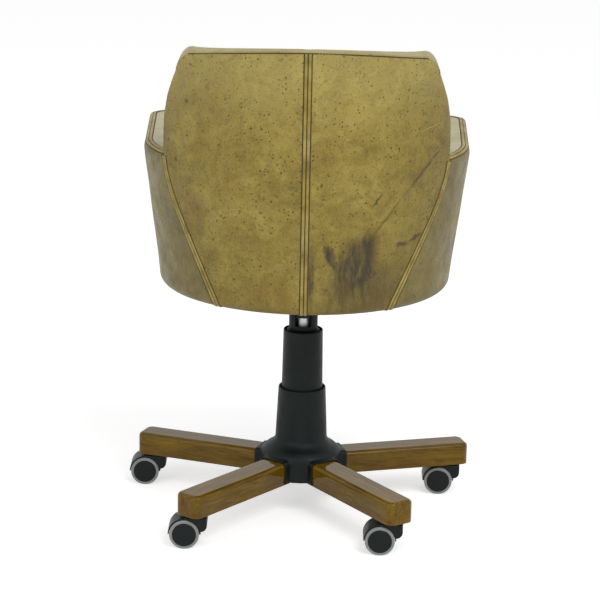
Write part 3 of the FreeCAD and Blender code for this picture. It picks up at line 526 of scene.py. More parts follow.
def make_back_leather():
    """The outer back with its stain, smudge, scratches and marks, and painted shade in and beside a crease.
    """
    g = Graph("back_leather")
    wide, near, line = g.wobble(22, 34), g.wobble(4, 9), g.wobble(2.4, 16)
    # Each blot is x, z, half width, half height, turn, softness and strength
    stain = g.most(
        g.blots([(-84, 482, 48, 66, 0, 0.6, 1.0), (-99, 508, 28, 48, -12, 0.6, 1.0),
                 (-86, 438, 98, 74, 0, 0.85, 0.85)], wide),
        g.blots([(-43, 502, 10, 36, 24, 0.5, 1.0), (-11, 462, 9, 90, 0, 0.9, 0.95)], near))
    streak = g.noise(9, 5.0, 0.7, g.turned(size=(1.0, 1.0, 5.0)))
    stain = g.times(stain, g.span(streak, 0.36, 0.6, 0.55, 1.0))
    smear = g.blots([(-150, 460, 60, 70, 0, 0.9, 0.3)], wide)
    smudge = g.blots([(-158, 517, 13, 6, 0, 0.6, 0.8), (-182, 525, 17, 5, 28, 0.7, 0.8)], near)
    # Painted shade: thin dark lines along the creases of a fold, and a broad shade beside it
    wrinkle_shade = g.most(
        g.blots([(-195, 643, 68, 3.0, 50.5, 0.7, 1.0), (-131, 563, 54, 3.6, 53, 0.9, 0.7)], line),
        g.blot(-116, 596, 20, 2.8, 55, 0.8, g.wobble(3.5, 8)))
    wrinkle_shade = g.times(wrinkle_shade, g.span(g.noise(12, 3.0), 0.36, 0.54, 0.4, 0.9))
    shade = g.blots([(-190, 640, 74, 15, 50.5, 0.95, 0.3)], wide)
    scratch = g.blots([(-200, 708, 34, 0.9, 14, 0.8, 0.6), (-214, 668, 20, 0.7, 40, 0.8, 0.6)], line)
    marks = [
        (-25, 624, 3.4), (-72, 576, 2.6), (-44, 558, 2.2), (196, 744, 4.2), (213, 645, 3.6),
        (24, 628, 2.4), (-160, 740, 2.8), (150, 520, 2.6), (168, 700, 2.4), (-130, 640, 2.4),
    ]
    marks = g.blots([(x, z, size, size * 1.15, 0, 0.6, 0.7) for x, z, size in marks], near)
    side = g.blot(206, 520, 34, 110, -18, 0.9, wide)
    side = g.times(side, g.span(g.noise(30, 3.0), 0.35, 0.65, 0.2, 0.8))
    foot = g.span(g.height(), 0.402, 0.44, 0.35, 0.0)
    colour = leather_colour(g)
    for share, tint in (
            (stain, GREY_STAIN), (smear, GREY_STAIN), (smudge, GREY_STAIN), (wrinkle_shade, BROWN_SPECK),
            (shade, BROWN_MOTTLE), (scratch, srgb(190, 176, 118)), (marks, BROWN_SPECK),
            (side, srgb(122, 92, 40)), (foot, KHAKI_DARK)):
        colour = g.mix(share, colour, tint)
    g.put("Base Color", colour)
    leather_surface(g)
    return g.material


def make_arm_leather():
    """Outer leather of the arms, tinted duller olive: painted sheen, as the arms face sideways."""
    g = Graph("arm_leather")
    colour = leather_colour(g, 0.42)
    patch = g.span(g.noise(70, 4.0, 0.6, g.wobble(10, 30)), 0.48, 0.66, 0.0, 0.5)
    colour = g.mix(patch, colour, srgb(80, 70, 38))
    g.put("Base Color", colour)
    leather_surface(g)
    return g.material


def make_inner_leather(name="seat_leather", top_glare=0.0):
    """Leather of the seat side: paler in broad patches that are partly wear and partly painted glare, with
    painted glare towards the arm tops by the share top_glare.
    """
    g = Graph(name)
    colour = leather_colour(g)
    # Painted glare: paler leather from 0.6 m up to the arm tops, for light from above
    colour = g.mix(g.span(g.height(), 0.6, 0.648, 0.0, top_glare), colour, ARM_TOP_GLARE)
    # Paler broad patches: partly wear, partly painted glare of light from above
    wear_and_glare = g.span(g.noise(120, 3.0, 0.55, g.turned(at=(0.2, 0.5, 0.1))), 0.4, 0.6, 0.3, 0.7)
    colour = g.mix(wear_and_glare, colour, srgb(176, 166, 118))
    g.put("Base Color", colour)
    leather_surface(g, 1.2)
    return g.material


def make_rib_highlight_leather():
    """Paler leather on top of the welts: a painted highlight."""
    g = Graph("rib_highlight_leather")
    tone = g.noise(32, 5.0, 0.6)
    g.put("Base Color", g.ramp(tone, [(0.35, srgb(124, 105, 40)), (0.5, srgb(152, 133, 60)),
                                      (0.65, srgb(170, 152, 80))]))
    leather_surface(g, 0.6)
    return g.material


def make_matt(name, noise_of, stretch, stops, rough, depth):
    """Dull material whose colour and relief follow one noise: its size, detail and roughness."""
    g = Graph(name)
    tone = g.noise(*noise_of, g.turned(size=stretch))
    g.put("Base Color", g.ramp(tone, stops))
    g.put("Roughness", rough)
    if depth:
        g.put("Normal", g.bump(tone, depth))
    return g.material


def make_wood(angle, number):
    """Lacquered hardwood with its grain along the leg, which points along angle degrees."""
    g = Graph("wood_%d" % number)
    along = g.turned(at=(0.013 * number, 0.007 * number, 0.005 * number),
                     turn=(0, 0, math.radians(angle)))
    bent = g.wobble(5, 60, along)
    fibre = g.noise(3.2, 6.0, 0.7, g.turned(bent, size=(16.0, 1.0, 1.0)))
    rings = g.noise(11, 4.0, 0.6, g.turned(bent, size=(9.0, 1.0, 1.3)), warp=0.8)
    pores = g.span(g.noise(1.0, 2.0, 0.5, g.turned(along, size=(22.0, 1.0, 1.0))), 0.56, 0.7)
    tone = g.total((fibre, 0.45), (rings, 0.55))
    colour = g.ramp(tone, [(0.32, srgb(78, 53, 1)), (0.46, srgb(106, 79, 3)),
                           (0.56, srgb(123, 94, 6)), (0.7, srgb(144, 114, 16))])
    colour = g.mix(g.times(pores, 0.45), colour, srgb(48, 30, 4))
    cloud = g.span(g.noise(70, 2.0), 0.35, 0.65, 0.0, 0.35)
    colour = g.mix(cloud, colour, srgb(84, 58, 8))
    g.put("Base Color", colour)
    g.put("Roughness", 0.4)
    g.put("Specular IOR Level", 0.0)
    g.put("Coat Weight", 1.0)
    g.put("Coat IOR", 1.28)
    g.put("Coat Roughness", 0.06)
    g.put("Normal", g.bump(fibre, 0.05, strength=0.4))
    return g.material


def darker(colour, share):
    return tuple(c * share for c in colour[:3]) + (1.0,)


def make_plastic(name, base, rough, grain, depth):
    """Moulded black plastic with a fine spark-eroded texture."""
    g = Graph(name)
    g.put("Base Color", g.ramp(g.noise(40, 3.0), [(0.3, darker(base, 0.8)), (0.7, base)]))
    g.put("Roughness", g.span(g.noise(18, 3.0), 0.3, 0.7, rough - 0.05, rough + 0.05))
    g.put("Specular IOR Level", 0.2)
    g.put("Normal", g.bump(g.noise(grain, 3.0, 0.6), depth, strength=0.7))
    return g.material


def make_metal(name, base, rough, brushed):
    """Metal with fine lines, drawn out by the three numbers of brushed."""
    g = Graph(name)
    lines = g.noise(0.8, 3.0, 0.6, g.turned(size=brushed))
    g.put("Base Color", g.ramp(lines, [(0.3, darker(base, 0.85)), (0.7, base)]))
    g.put("Metallic", 1.0)
    g.put("Roughness", g.span(lines, 0.3, 0.7, rough * 0.8, rough * 1.3))
    g.put("Normal", g.bump(lines, 0.03, strength=0.3))
    return g.material


BACK_LEATHER = make_back_leather()
ARM_LEATHER = make_arm_leather()
SEAT_LEATHER = make_inner_leather()
# The arm pads' leather, with painted glare on their tops
ARM_PAD_LEATHER = make_inner_leather("arm_pad_leather", 0.75)
# Paler welt tops: painted highlight
RIB_HIGHLIGHT_LEATHER = make_rib_highlight_leather()
EVEN = (1.0, 1.0, 1.0)
THREAD_MATERIAL = make_matt("thread", (0.9, 2.0, 0.5), EVEN,
                            [(0.35, srgb(40, 28, 16)), (0.65, srgb(84, 64, 38))], 0.7, 0.15)
SEAM_SHADOW_STRIP = make_matt("seam_shadow", (2.0, 3.0, 0.55), EVEN,
                      [(0.3, srgb(44, 33, 18)), (0.7, srgb(74, 58, 30))], 0.85, 0.0)
DUST_CLOTH = make_matt("dust_cloth", (1.6, 5.0, 0.75), EVEN,
                       [(0.3, srgb(20, 20, 20)), (0.7, srgb(42, 42, 41))], 0.95, 0.3)
PLYWOOD = make_matt("plywood", (2.0, 3.0, 0.6), (12.0, 12.0, 1.0),
                    [(0.3, srgb(150, 118, 74)), (0.7, srgb(196, 166, 118))], 0.7, 0.2)


# Back

ROWS_BACK = 44
COLUMNS_BACK = 56
CORNER_FROM = TOP_CORNER_Z - 20.0
CORNER_ROWS = 12
BACK_WAVE = (70.0, 1.3)     # size and height of the leather's unevenness


def back_rows(top_drop):
    """Row heights at the centre of the back, from the rim to top_drop below the crown."""
    top = CROWN_Z - top_drop
    turns = spread(0.0, QUARTER, CORNER_ROWS)[1:]
    return spread(RIM_Z, CORNER_FROM, ROWS_BACK) + [lerp(CORNER_FROM, top, math.sin(t)) for t in turns]


def back_point_z(x, height):
    """Height of a row at x: rows bend to follow the crowned top."""
    share = (height - RIM_Z) / (CROWN_Z - RIM_Z)
    return height - (CROWN_Z - crown(x)) * share ** 3


def back_grid(inset, side):
    """Grid on the rear wall from the centre to the seam; side is 1 for the left half, -1 for the right."""
    shares = spread(0.0, 1.0, COLUMNS_BACK)

    def plain_row(z, off, shown_z):
        xs = [side * u * back_half(z) for u in shares]
        return [(x, rear_y(x, z, off), shown_z) for x in xs]

    grid = [plain_row(RIM_Z, BOTTOM_TUCK + hem, RIM_Z + inset) for hem in HEMS]
    grid += [plain_row(z, off, z) for z, off in tuck_rows(inset)]
    for height in back_rows(TOP_SEAM_DROP):
        if height < TUCK_TOP + TUCK_CLEAR:
            continue
        row = []
        for u in shares:
            x = side * u * back_half(height)
            z = back_point_z(x, height)
            fade = min(1.0, (1.0 - u) * 6.0) * min(1.0, u * 8.0)    # flat at both seams
            row.append((x, rear_y(x, z, inset) + wave(x, 0, z, *BACK_WAVE) * fade, z))
        grid.append(row)
    return grid


def make_outer_back():
    for name, side in SIDES:
        label = "outer_back_" + name
        mesh = sheet_mesh(label, back_grid(0.0, side), back_grid(LEATHER, side))
        piece = finish_mesh(label, mesh, BACK_LEATHER)
        if side > 0:
            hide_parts("outer_back_panels")


PAD_COLUMNS = 60
REAR_PINCH = 0.25       # part of the top's rounding that the rear draws in
BACK_BULGE = 7.0        # of the front; it starts below the cushion's top
BULGE_BELOW = 30.0
SIDE_PINCH = 0.35       # parts of the top's rounding that the sides and the wings draw in
WING_PINCH = 0.4
CENTRE_DENT = 4.5       # depth and half width of the dent along the inner centre seam
CENTRE_DENT_HALF = 7.0


def back_loop(height, pinch):
    """Plan of the back's body at one row: its rear points and its front points."""
    half = back_half(height) - pinch * SIDE_PINCH
    wing_y = BACK_MODULE_Y + pinch * WING_PINCH
    inner = WALL - pinch
    corner_x = side_x(wing_y, height, inner)
    rise = clamp((height - CUSHION_TOP + BULGE_BELOW) / (CROWN_Z - CUSHION_TOP), 0.0, 1.0)
    bulge = BACK_BULGE * math.sin(math.pi * rise) ** 0.6
    rear, front = [], []
    for u in spread(-1.0, 1.0, PAD_COLUMNS):
        x = u * half
        z = back_point_z(x, height)
        rear.append((x, rear_y(x, z, SKIN + pinch * REAR_PINCH), z))
        y = max(rear_y(x, z, inner), wing_y) if abs(x) < corner_x else wing_y
        over = clamp((abs(x) - corner_x + BACK_SIDE_ROUND) / (half - corner_x + BACK_SIDE_ROUND), 0.0, 1.0)
        y += BACK_SIDE_ROUND * 1.2 * (1.0 - math.sqrt(max(0.0, 1.0 - over ** 3)))
        y -= bulge * (1.0 - min(1.0, abs(x) / corner_x) ** 4)
        front.append((x, y + math.exp(-(x / CENTRE_DENT_HALF) ** 2) * CENTRE_DENT, z))
    return rear, front


def make_back_pad():
    """Padding and inner leather of the back, with its rounded top and side edges."""
    heights = [h for h in back_rows(0.0) if h > BOARD_TOP] + [CROWN_Z]
    rears, fronts = [], []
    for height in heights:
        rear, front = back_loop(height, rounding(height - CROWN_Z + BACK_TOP_ROUND, BACK_TOP_ROUND))
        rears.append(rear)
        fronts.append(front)
    mesh = sheet_mesh("back_pad", rears, fronts)
    piece = finish_mesh("back_pad", mesh, SEAT_LEATHER)
    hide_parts("inner_back_pad")


# Arms

ARM_ROWS = 34
ARM_TOP_ROWS = 12
ARM_BEHIND = 20             # points round the rear, along the side and round the front corner
ARM_ALONG = 19
ARM_TURNS = 12
ARM_COLUMNS = ARM_BEHIND + ARM_ALONG + ARM_TURNS + 3
ARM_SKIN_COLUMNS = 49       # the outer leather ends after these, where its seam turns down
FRONT_INNER_ROUND = 16.0
FRONT_PINCH = 0.7           # part of the inner rounding that the front end draws in
ARM_SEAM_ANGLE = math.radians(68.0)
ARM_SEAM_Z = SHOULDER_Z + ARM_OUTER_ROUND * math.sin(ARM_SEAM_ANGLE)
ARM_SWELL = 4.0             # of the inner face; it starts below the cushion's top
ARM_SWELL_BELOW = 20.0
ARM_SWELL_SHARE = 0.75      # part of the arm's length that swells
ARM_WAVE = (75.0, 1.4)      # size and height of the leather's unevenness
ARM_SHEET_ROWS = 40
SHOULDER_STEPS = 6
CALM_REACH = 30.0           # the leather turns even over this height and these points near its edges
CALM_POINTS = 6
ARM_FACE = (0.33, -0.94)    # way that the front corner's seam faces, in plan


def arm_rows():
    """Height, outer rounding and inner rounding of each row of the padding."""
    rows = [(z, 0.0, 0.0) for z in spread(BOARD_TOP + 1.0, ARM_Z - ARM_INNER_ROUND, ARM_ROWS)]
    for angle in spread(0.0, QUARTER, ARM_TOP_ROWS)[1:]:
        z = ARM_Z - ARM_INNER_ROUND + ARM_INNER_ROUND * math.sin(angle)
        inner = ARM_INNER_ROUND * (1.0 - math.cos(angle))
        rows.append((z, rounding(z - SHOULDER_Z, ARM_OUTER_ROUND), inner))
    return rows


def arm_path(z, inset, start_y, front, corner, way, middle):
    """Plan of one face of the arm: round the tub, along its side, and round the front to the middle."""
    half, rear, widest = level(z)[:3]
    deep = rear - widest - inset
    start = math.asin(clamp((start_y - widest) / deep, 0.0, 1.0))
    angles = [lerp(start, 0.0, i / ARM_BEHIND) for i in range(ARM_BEHIND)]
    points = [((half - inset) * math.cos(a), widest + deep * math.sin(a)) for a in angles]
    ys = [lerp(widest, front + corner, i / ARM_ALONG) for i in range(ARM_ALONG)]
    points += [(side_x(y, z, inset), y) for y in ys]
    end = side_x(front + corner, z, inset)
    for a in spread(0.0, QUARTER, ARM_TURNS):
        points.append((end + way * corner * (1.0 - math.cos(a)), front + corner * (1.0 - math.sin(a))))
    return points + [(lerp(end + way * corner, middle, 0.5), front), (middle, front)]


def arm_outer(z, pinch):
    """Points on the arm's outside from the back's side seam to the middle of its front end."""
    front = level(z)[4] + pinch
    middle = side_x(front + FRONT_ROUND, z, pinch) - WALL / 2
    return arm_path(z, pinch, rear_y(back_half(z), z, pinch), front, FRONT_ROUND, -1, middle)


def arm_inner(z, pinch):
    """Matching points on the arm's inside."""
    front = level(z)[4] + pinch * FRONT_PINCH
    middle = side_x(front + FRONT_ROUND, z) - WALL / 2
    return arm_path(z, WALL - pinch, BACK_MODULE_Y, front, FRONT_INNER_ROUND, 1, middle)


def make_arm_pad(name, side):
    """Padding and inner leather of an arm."""
    outers, inners = [], []
    for z, outer, inner in arm_rows():
        row = arm_outer(z, outer + (SKIN if z <= ARM_SEAM_Z else SLACK))
        row[ARM_SKIN_COLUMNS:] = arm_outer(z, outer + SLACK)[ARM_SKIN_COLUMNS:]
        outers.append([(side * x, y, z) for x, y in row])
        low = CUSHION_TOP - ARM_SWELL_BELOW
        rise = clamp((z - low) / (ARM_Z - low), 0.0, 1.0)
        inner_row = []
        for i, (x, y) in enumerate(arm_inner(z, inner)):
            share = clamp(i / (ARM_COLUMNS - 1) / ARM_SWELL_SHARE, 0.0, 1.0)
            push = ARM_SWELL * math.sin(math.pi * rise) * math.sin(math.pi * share)
            inner_row.append((side * (x - push), y, z))
        inners.append(inner_row)
    label = "arm_pad_" + name
    piece = finish_mesh(label, sheet_mesh(label, outers, inners), ARM_PAD_LEATHER)
    return piece


def arm_sheet_rows(inset):
    """Rows of the arm's outer leather: hem under the frame, the tuck, the wall and the shoulder."""
    rows = [(RIM_Z + inset, BOTTOM_TUCK + hem) for hem in HEMS] + tuck_rows(inset)
    rows += [(z, inset) for z in spread(TUCK_TOP + ROW_GAP, SHOULDER_Z, ARM_SHEET_ROWS)]
    for angle in spread(0.0, ARM_SEAM_ANGLE, SHOULDER_STEPS)[1:]:
        rows.append((SHOULDER_Z + (ARM_OUTER_ROUND - inset) * math.sin(angle),
                     ARM_OUTER_ROUND - (ARM_OUTER_ROUND - inset) * math.cos(angle)))
    return rows


def arm_sheet(side, inset):
    """Grid of one face of the arm's outer leather, slightly uneven away from its edges."""
    last = ARM_SKIN_COLUMNS
    grid = []
    for z, off in arm_sheet_rows(inset):
        calm = clamp((z - TUCK_TOP) / CALM_REACH, 0.0, 1.0) * clamp((SHOULDER_Z - z) / CALM_REACH, 0.0, 1.0)
        row = []
        for i, (x, y) in enumerate(arm_outer(z, off)[:last]):
            fade = calm * min(1.0, i / CALM_POINTS) * min(1.0, (last - i) / CALM_POINTS)
            row.append((side * (x + wave(side * x, y, z, *ARM_WAVE) * fade), y, z))
        grid.append(row)
    return grid


def make_arms():
    for name, side in SIDES:
        label = "outer_arm_" + name
        mesh = sheet_mesh(label, arm_sheet(side, 0.0), arm_sheet(side, LEATHER))
        sheet = finish_mesh(label, mesh, ARM_LEATHER)
        pad = make_arm_pad(name, side)
        if side > 0:
            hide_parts("outer_arm_panels")
            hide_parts("inner_arm_pads")


# Seams

def surface_normal(x, z):
    """Outward normal of the rear wall."""
    dx = (rear_y(x + 1.0, z) - rear_y(x - 1.0, z)) / 2.0
    dz = (rear_y(x, z + 1.0) - rear_y(x, z - 1.0)) / 2.0
    return Vector((-dx, 1.0, -dz)).normalized()


def tucked(x, height):
    """Point and normal on the rear wall, following the rounded bottom edge below the tuck."""
    past = TUCK_TOP - height
    normal = surface_normal(x, max(height, RIM_Z))
    over = clamp(past / BOTTOM_TUCK, 0.0, 1.0)
    normal = (normal * math.sqrt(1.0 - over * over) - UP * over).normalized()
    return Vector((x, rear_y(x, height, rounding(past, BOTTOM_TUCK)), height)), normal


def double_seam(name, line):
    """Two welts with a valley between and a stitched line on each side, the valley and the lines being thin
    dark strips of painted shadow; line(shift) gives each path.
    """
    for k, way in ((1, -1), (2, 1)):
        strip("%s_rib_%d" % (name, k), *line(way * RIB_OFFSET), RIB_OUTLINE, RIB_HIGHLIGHT_LEATHER)
    for k, way in ((1, -1), (2, 1)):
        path, normals = line(way * STITCH_OFFSET)
        strip("%s_groove_%d" % (name, k), path, normals, GROOVE_OUTLINE, SEAM_SHADOW_STRIP)
        stitches("%s_stitches_%d" % (name, k), path, normals)
    strip("%s_valley" % name, *line(0.0), GROOVE_OUTLINE, SEAM_SHADOW_STRIP)


def wall_line(x_of, heights):
    """Gives paths up the rear wall beside the line x_of(height)."""
    def line(shift):
        pairs = [tucked(x_of(h), h) for h in heights]
        path, normals = resample([p for p, n in pairs], [n for p, n in pairs], SEAM_STEP)
        across = [way.cross(normal).normalized() for way, normal in zip(tangents(path), normals)]
        return [point + aside * shift for point, aside in zip(path, across)], normals
    return line


SEAM_FOOT = 0.5
SEAM_GAP = 5.0
CENTRE_SEAM_TOP = CROWN_Z - 3.0
SIDE_SEAM_TOP = ARM_Z - 6.0


def make_seams():
    foot = spread(RIM_Z + SEAM_FOOT, TUCK_TOP, TUCK_STEPS)
    heights = foot + spread(TUCK_TOP + SEAM_GAP, CENTRE_SEAM_TOP, 80)
    double_seam("centre_seam", wall_line(lambda h: 0.0, heights))
    heights = foot + spread(TUCK_TOP + SEAM_GAP, SIDE_SEAM_TOP, 50)
    for name, side in SIDES:
        double_seam("side_seam_" + name, wall_line(lambda h: side * back_half(h), heights))
        double_seam("arm_seam_" + name, arm_line(side))
    make_top_seam()


def arm_line(side):
    """Gives paths along the arm's shoulder and down its front corner, shifted towards the inside."""
    last = ARM_SKIN_COLUMNS
    face = Vector((side * ARM_FACE[0], ARM_FACE[1], 0.0))
    inwards = Vector((side * ARM_FACE[1], -ARM_FACE[0], 0.0))
    radius = ARM_OUTER_ROUND

    def line(shift):
        angle = min(ARM_SEAM_ANGLE + shift / radius, QUARTER)
        flat = max(0.0, ARM_SEAM_ANGLE + shift / radius - QUARTER) * radius
        z = SHOULDER_Z + radius * math.sin(angle)
        top = arm_outer(z, radius * (1.0 - math.cos(angle)) + flat)[:last]
        path, normals = [], []
        for i, (x, y) in enumerate(top):
            way = (Vector(top[min(last - 1, i + 1)]) - Vector(top[max(0, i - 1)])).normalized()
            out = Vector((-way.y, way.x))
            if out.x < 0 and i < last // 2:
                out = -out
            path.append(Vector((side * x, y, z)))
            out = Vector((side * out.x, out.y, 0))
            normals.append((out * math.cos(angle) + UP * math.sin(angle)).normalized())
        down = [(SHOULDER_Z + radius * math.sin(t), t) for t in spread(angle, 0.0, 8)[1:]]
        down += [(height, 0.0) for height in spread(SHOULDER_Z - 5.0, RIM_Z + 4.0, 30)]
        for height, t in down:
            x, y = arm_outer(height, radius * (1.0 - math.cos(t)))[last - 1]
            path.append(Vector((side * x, y, height)) + inwards * shift)
            normals.append((face * math.cos(t) + UP * math.sin(t)).normalized())
        return resample(path, normals, SEAM_STEP)
    return line


def make_top_seam():
    """Stitched edge where the outer back meets the fold over the top."""
    path, normals = [], []
    for x in spread(-1.0, 1.0, 90):
        reach = x * (back_half(CROWN_Z - TOP_SEAM_DROP) - 2.0)
        z = back_point_z(reach, CROWN_Z - TOP_SEAM_DROP)
        path.append(Vector((reach, rear_y(reach, z), z)))
        normals.append(surface_normal(reach, z))
    path, normals = resample(path, normals, SEAM_STEP)
    # Dark strip of painted shadow under the stitches
    strip("top_seam_groove", path, normals, GROOVE_OUTLINE, SEAM_SHADOW_STRIP)
    stitches("top_seam_stitches", path, normals)


# Seat

def cushion_outline(z, inset, front):
    """Closed plan ring of the cushion."""
    half, rear, widest = level(z)[:3]
    wide = half - inset
    deep = rear - widest - inset
    ring = [(wide * math.cos(a), widest + deep * math.sin(a)) for a in spread(0.0, math.pi, 40)]
    corner = FRONT_ROUND
    side_y = front + corner
    end = side_x(side_y, z, inset)
    left = [(-lerp(wide, end, t), lerp(widest, side_y, t)) for t in spread(0.0, 1.0, 14)[1:]]
    for a in spread(0.0, QUARTER, 6)[1:]:
        left.append((-end + corner - corner * math.cos(a), side_y - corner * math.sin(a)))
    left += [(lerp(-end + corner, 0.0, t), front) for t in spread(0.0, 1.0, 12)[1:]]
    return ring + left + [(-x, y) for x, y in reversed(left[:-1])]


CUSHION_LOW = BOARD_TOP + 1.0
CUSHION_HIGH = CUSHION_TOP - 12.0
CUSHION_INSET = WALL + 6.6
# Height and inset of the cushion's rings before it swells
CUSHION_ROWS = (
    (CUSHION_LOW, 8.0), (CUSHION_LOW + 8.0, 0.0), (lerp(CUSHION_LOW, CUSHION_HIGH, 0.5), 0.0),
    (CUSHION_HIGH - 16.0, 0.0), (CUSHION_HIGH - 5.0, 5.0), (CUSHION_HIGH, 16.0))
CUSHION_GAP = 6.0           # room at the front before it swells
CUSHION_CROWN = 9.0
CUSHION_CLEAR = 1.0         # from the padding
CUSHION_CAP = 24.0          # no point swells further than this
CUSHION_VOXEL = 6.0
CLOTH_FRAMES = 20
CLOTH_PRESSURE = 4.0
CLOTH_STRETCH = 25.0
CLOTH_BEND = 2.0


def make_cushion():
    """Seat cushion, blown up by cloth simulation and held to its room in the tub."""
    rings = []
    for z, off in CUSHION_ROWS:
        ring = cushion_outline(z, CUSHION_INSET + off, CUSHION_FRONT + CUSHION_GAP + off)
        rings.append([(x, y, z) for x, y in ring])
    mesh = tube_mesh("seat_cushion_form", rings)
    piece = finish_mesh("seat_cushion_cover", mesh, SEAT_LEATHER)
    piece.parent = None
    remesh(piece, CUSHION_VOXEL)
    inflate(piece)
    soften(piece)
    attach(piece, "seat")
    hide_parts("seat_cushion")


def apply_modifiers(piece):
    graph = bpy.context.evaluated_depsgraph_get()
    graph.update()
    mesh = bpy.data.meshes.new_from_object(piece.evaluated_get(graph), depsgraph=graph)
    piece.modifiers.clear()
    piece.data = mesh
    shade_smooth(mesh)


def remesh(piece, voxel):
    modifier = piece.modifiers.new("remesh", "REMESH")
    modifier.mode = "VOXEL"
    modifier.voxel_size = voxel * MM
    apply_modifiers(piece)


def inflate(piece):
    """Cloth under pressure for a few frames, with each point's travel capped."""
    scene = bpy.context.scene
    rest = [v.co.copy() for v in piece.data.vertices]
    cloth = piece.modifiers.new("cloth", "CLOTH")
    cloth.settings.use_pressure = True
    cloth.settings.uniform_pressure_force = CLOTH_PRESSURE
    cloth.settings.effector_weights.gravity = 0.0
    cloth.settings.tension_stiffness = CLOTH_STRETCH
    cloth.settings.compression_stiffness = CLOTH_STRETCH
    cloth.settings.bending_stiffness = CLOTH_BEND
    cloth.point_cache.frame_start = 1
    cloth.point_cache.frame_end = CLOTH_FRAMES
    for number in range(1, CLOTH_FRAMES + 1):
        scene.frame_set(number)
    apply_modifiers(piece)
    scene.frame_set(1)
    for vertex, start in zip(piece.data.vertices, rest):
        move = vertex.co - start
        if move.length > CUSHION_CAP * MM:
            vertex.co = start + move * (CUSHION_CAP * MM / move.length)


def soften(piece):
    """Keep the cushion in its room: flat on the board, clear of the pads."""
    for vertex in piece.data.vertices:
        p = vertex.co / MM
        z = max(p.z, BOARD_TOP + 0.5)
        limit = side_x(clamp(p.y, -240.0, 60.0), clamp(z, RIM_Z, ARM_Z), WALL + CUSHION_CLEAR)
        x = clamp(p.x, -limit, limit)
        y = max(min(p.y, rear_y(x, z, WALL + CUSHION_CLEAR)), CUSHION_FRONT - CUSHION_GAP)
        vertex.co = Vector((x, y, min(z, CUSHION_TOP + CUSHION_CROWN))) * MM


BAND_ROUND = 8.0
BAND_OUT = 2.0              # its faces lie this far behind the front of the outline
BAND_IN = 4.0
CLOTH_THICK = 0.9
CLOTH_EDGE = 12.0


def make_front_band():
    """Leather band over the front rail, between the arms."""
    front = level(RIM_Z)[4]
    half = side_x(front + FRONT_ROUND, RIM_Z, WALL) + 8.0
    low = RIM_Z + 1.0
    rows = [(low, 14.0), (low, 6.0)]
    for a in spread(0.0, QUARTER, 5):
        rows.append((low + BAND_ROUND * (1.0 - math.cos(a)), BAND_ROUND * (1.0 - math.sin(a))))
    rows += [(RIM_Z + 14.0, 0.0), (BOARD_TOP + 0.5, 1.0)]
    xs = spread(-half, half, 60)
    outer, inner = [], []
    for z, off in rows:
        lift = 0.9 if off > 7.0 else 0.0
        outer.append([(x, front + BAND_OUT + off, z) for x in xs])
        inner.append([(x, front + BAND_IN + off, z + lift) for x in xs])
    finish_mesh("front_band", sheet_mesh("front_band", outer, inner), SEAT_LEATHER)


def make_dust_cloth():
    """Black cloth stretched under the frame, with a hole for the mechanism's plate."""
    hole_x = 84.0
    hole_front = -120.0
    hole_rear = 106.0
    z = RIM_Z - 0.1
    middle_y = (hole_front + hole_rear) / 2
    half_y = (hole_rear - hole_front) / 2
    outer = []
    for x, y in cushion_outline(RIM_Z, BOTTOM_TUCK + CLOTH_EDGE, OUTLINE_RIM[4] + CLOTH_EDGE):
        dy = y - middle_y
        k = min(hole_x / max(abs(x), 1e-6), half_y / max(abs(dy), 1e-6))
        outer.append([(lerp(x * k, x, t), lerp(middle_y + dy * k, y, t), z) for t in spread(0.0, 1.0, 8)])
    outer.append(outer[0])
    inner = [[(x, y, z - CLOTH_THICK) for x, y, z in row] for row in outer]
    finish_mesh("dust_cloth", sheet_mesh("dust_cloth", outer, inner), DUST_CLOTH)


COVER_VOXEL = 1.3
COVER_SOFT_FROM = 63.0      # the skirt between these heights is smoothed
COVER_SOFT_TO = 128.0
COVER_SOFT_STEPS = 14


def make_hub_cover():
    """The moulded lower cover, with the soft flowing edges that the mould gives it."""
    source = nodes["hub_cover"]
    piece = add_object("hub_cover_moulding", source.data.copy())
    piece.matrix_world = source.matrix_world.copy()
    remesh(piece, COVER_VOXEL)
    mesh = piece.data
    work = bmesh.new()
    work.from_mesh(mesh)
    soft = [v for v in work.verts if COVER_SOFT_FROM < v.co.z / MM < COVER_SOFT_TO]
    for _ in range(COVER_SOFT_STEPS):
        bmesh.ops.smooth_vert(work, verts=soft, factor=0.5, use_axis_x=True, use_axis_y=True,
                              use_axis_z=True)
    work.to_mesh(mesh)
    work.free()
    shade_smooth(mesh)
    mesh.materials.clear()
    mesh.materials.append(COVER_PLASTIC)
    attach(piece, "base")
    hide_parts("hub_cover")


SHELL_IN = 18.0             # inset of the wood's inner face, and of its ends
SHELL_END = 11.0
SHELL_ARM_TOP = 636.0
SHELL_BACK_TOP = 824.0
SHELL_SPLIT = 0.2           # between the wall and the back above it
RAIL_GAP = 0.3
RAIL_HALF = 222.0
RAIL_BACK = -240.5
RAIL_THICK = 11.5
RAIL_EDGE = 1.5


def wall_path(z, inset, front):
    """Plan path of the tub's wall from the left front end round the rear to the right."""
    half, rear, widest = level(z)[:3]
    side = [(side_x(y, z, inset), y) for y in spread(front, widest, 14)]
    arc = []
    for t in spread(0.0, math.pi, 64)[1:-1]:
        arc.append(((half - inset) * math.cos(t), widest + (rear - widest - inset) * math.sin(t)))
    return side + arc + [(-x, y) for x, y in reversed(side)]


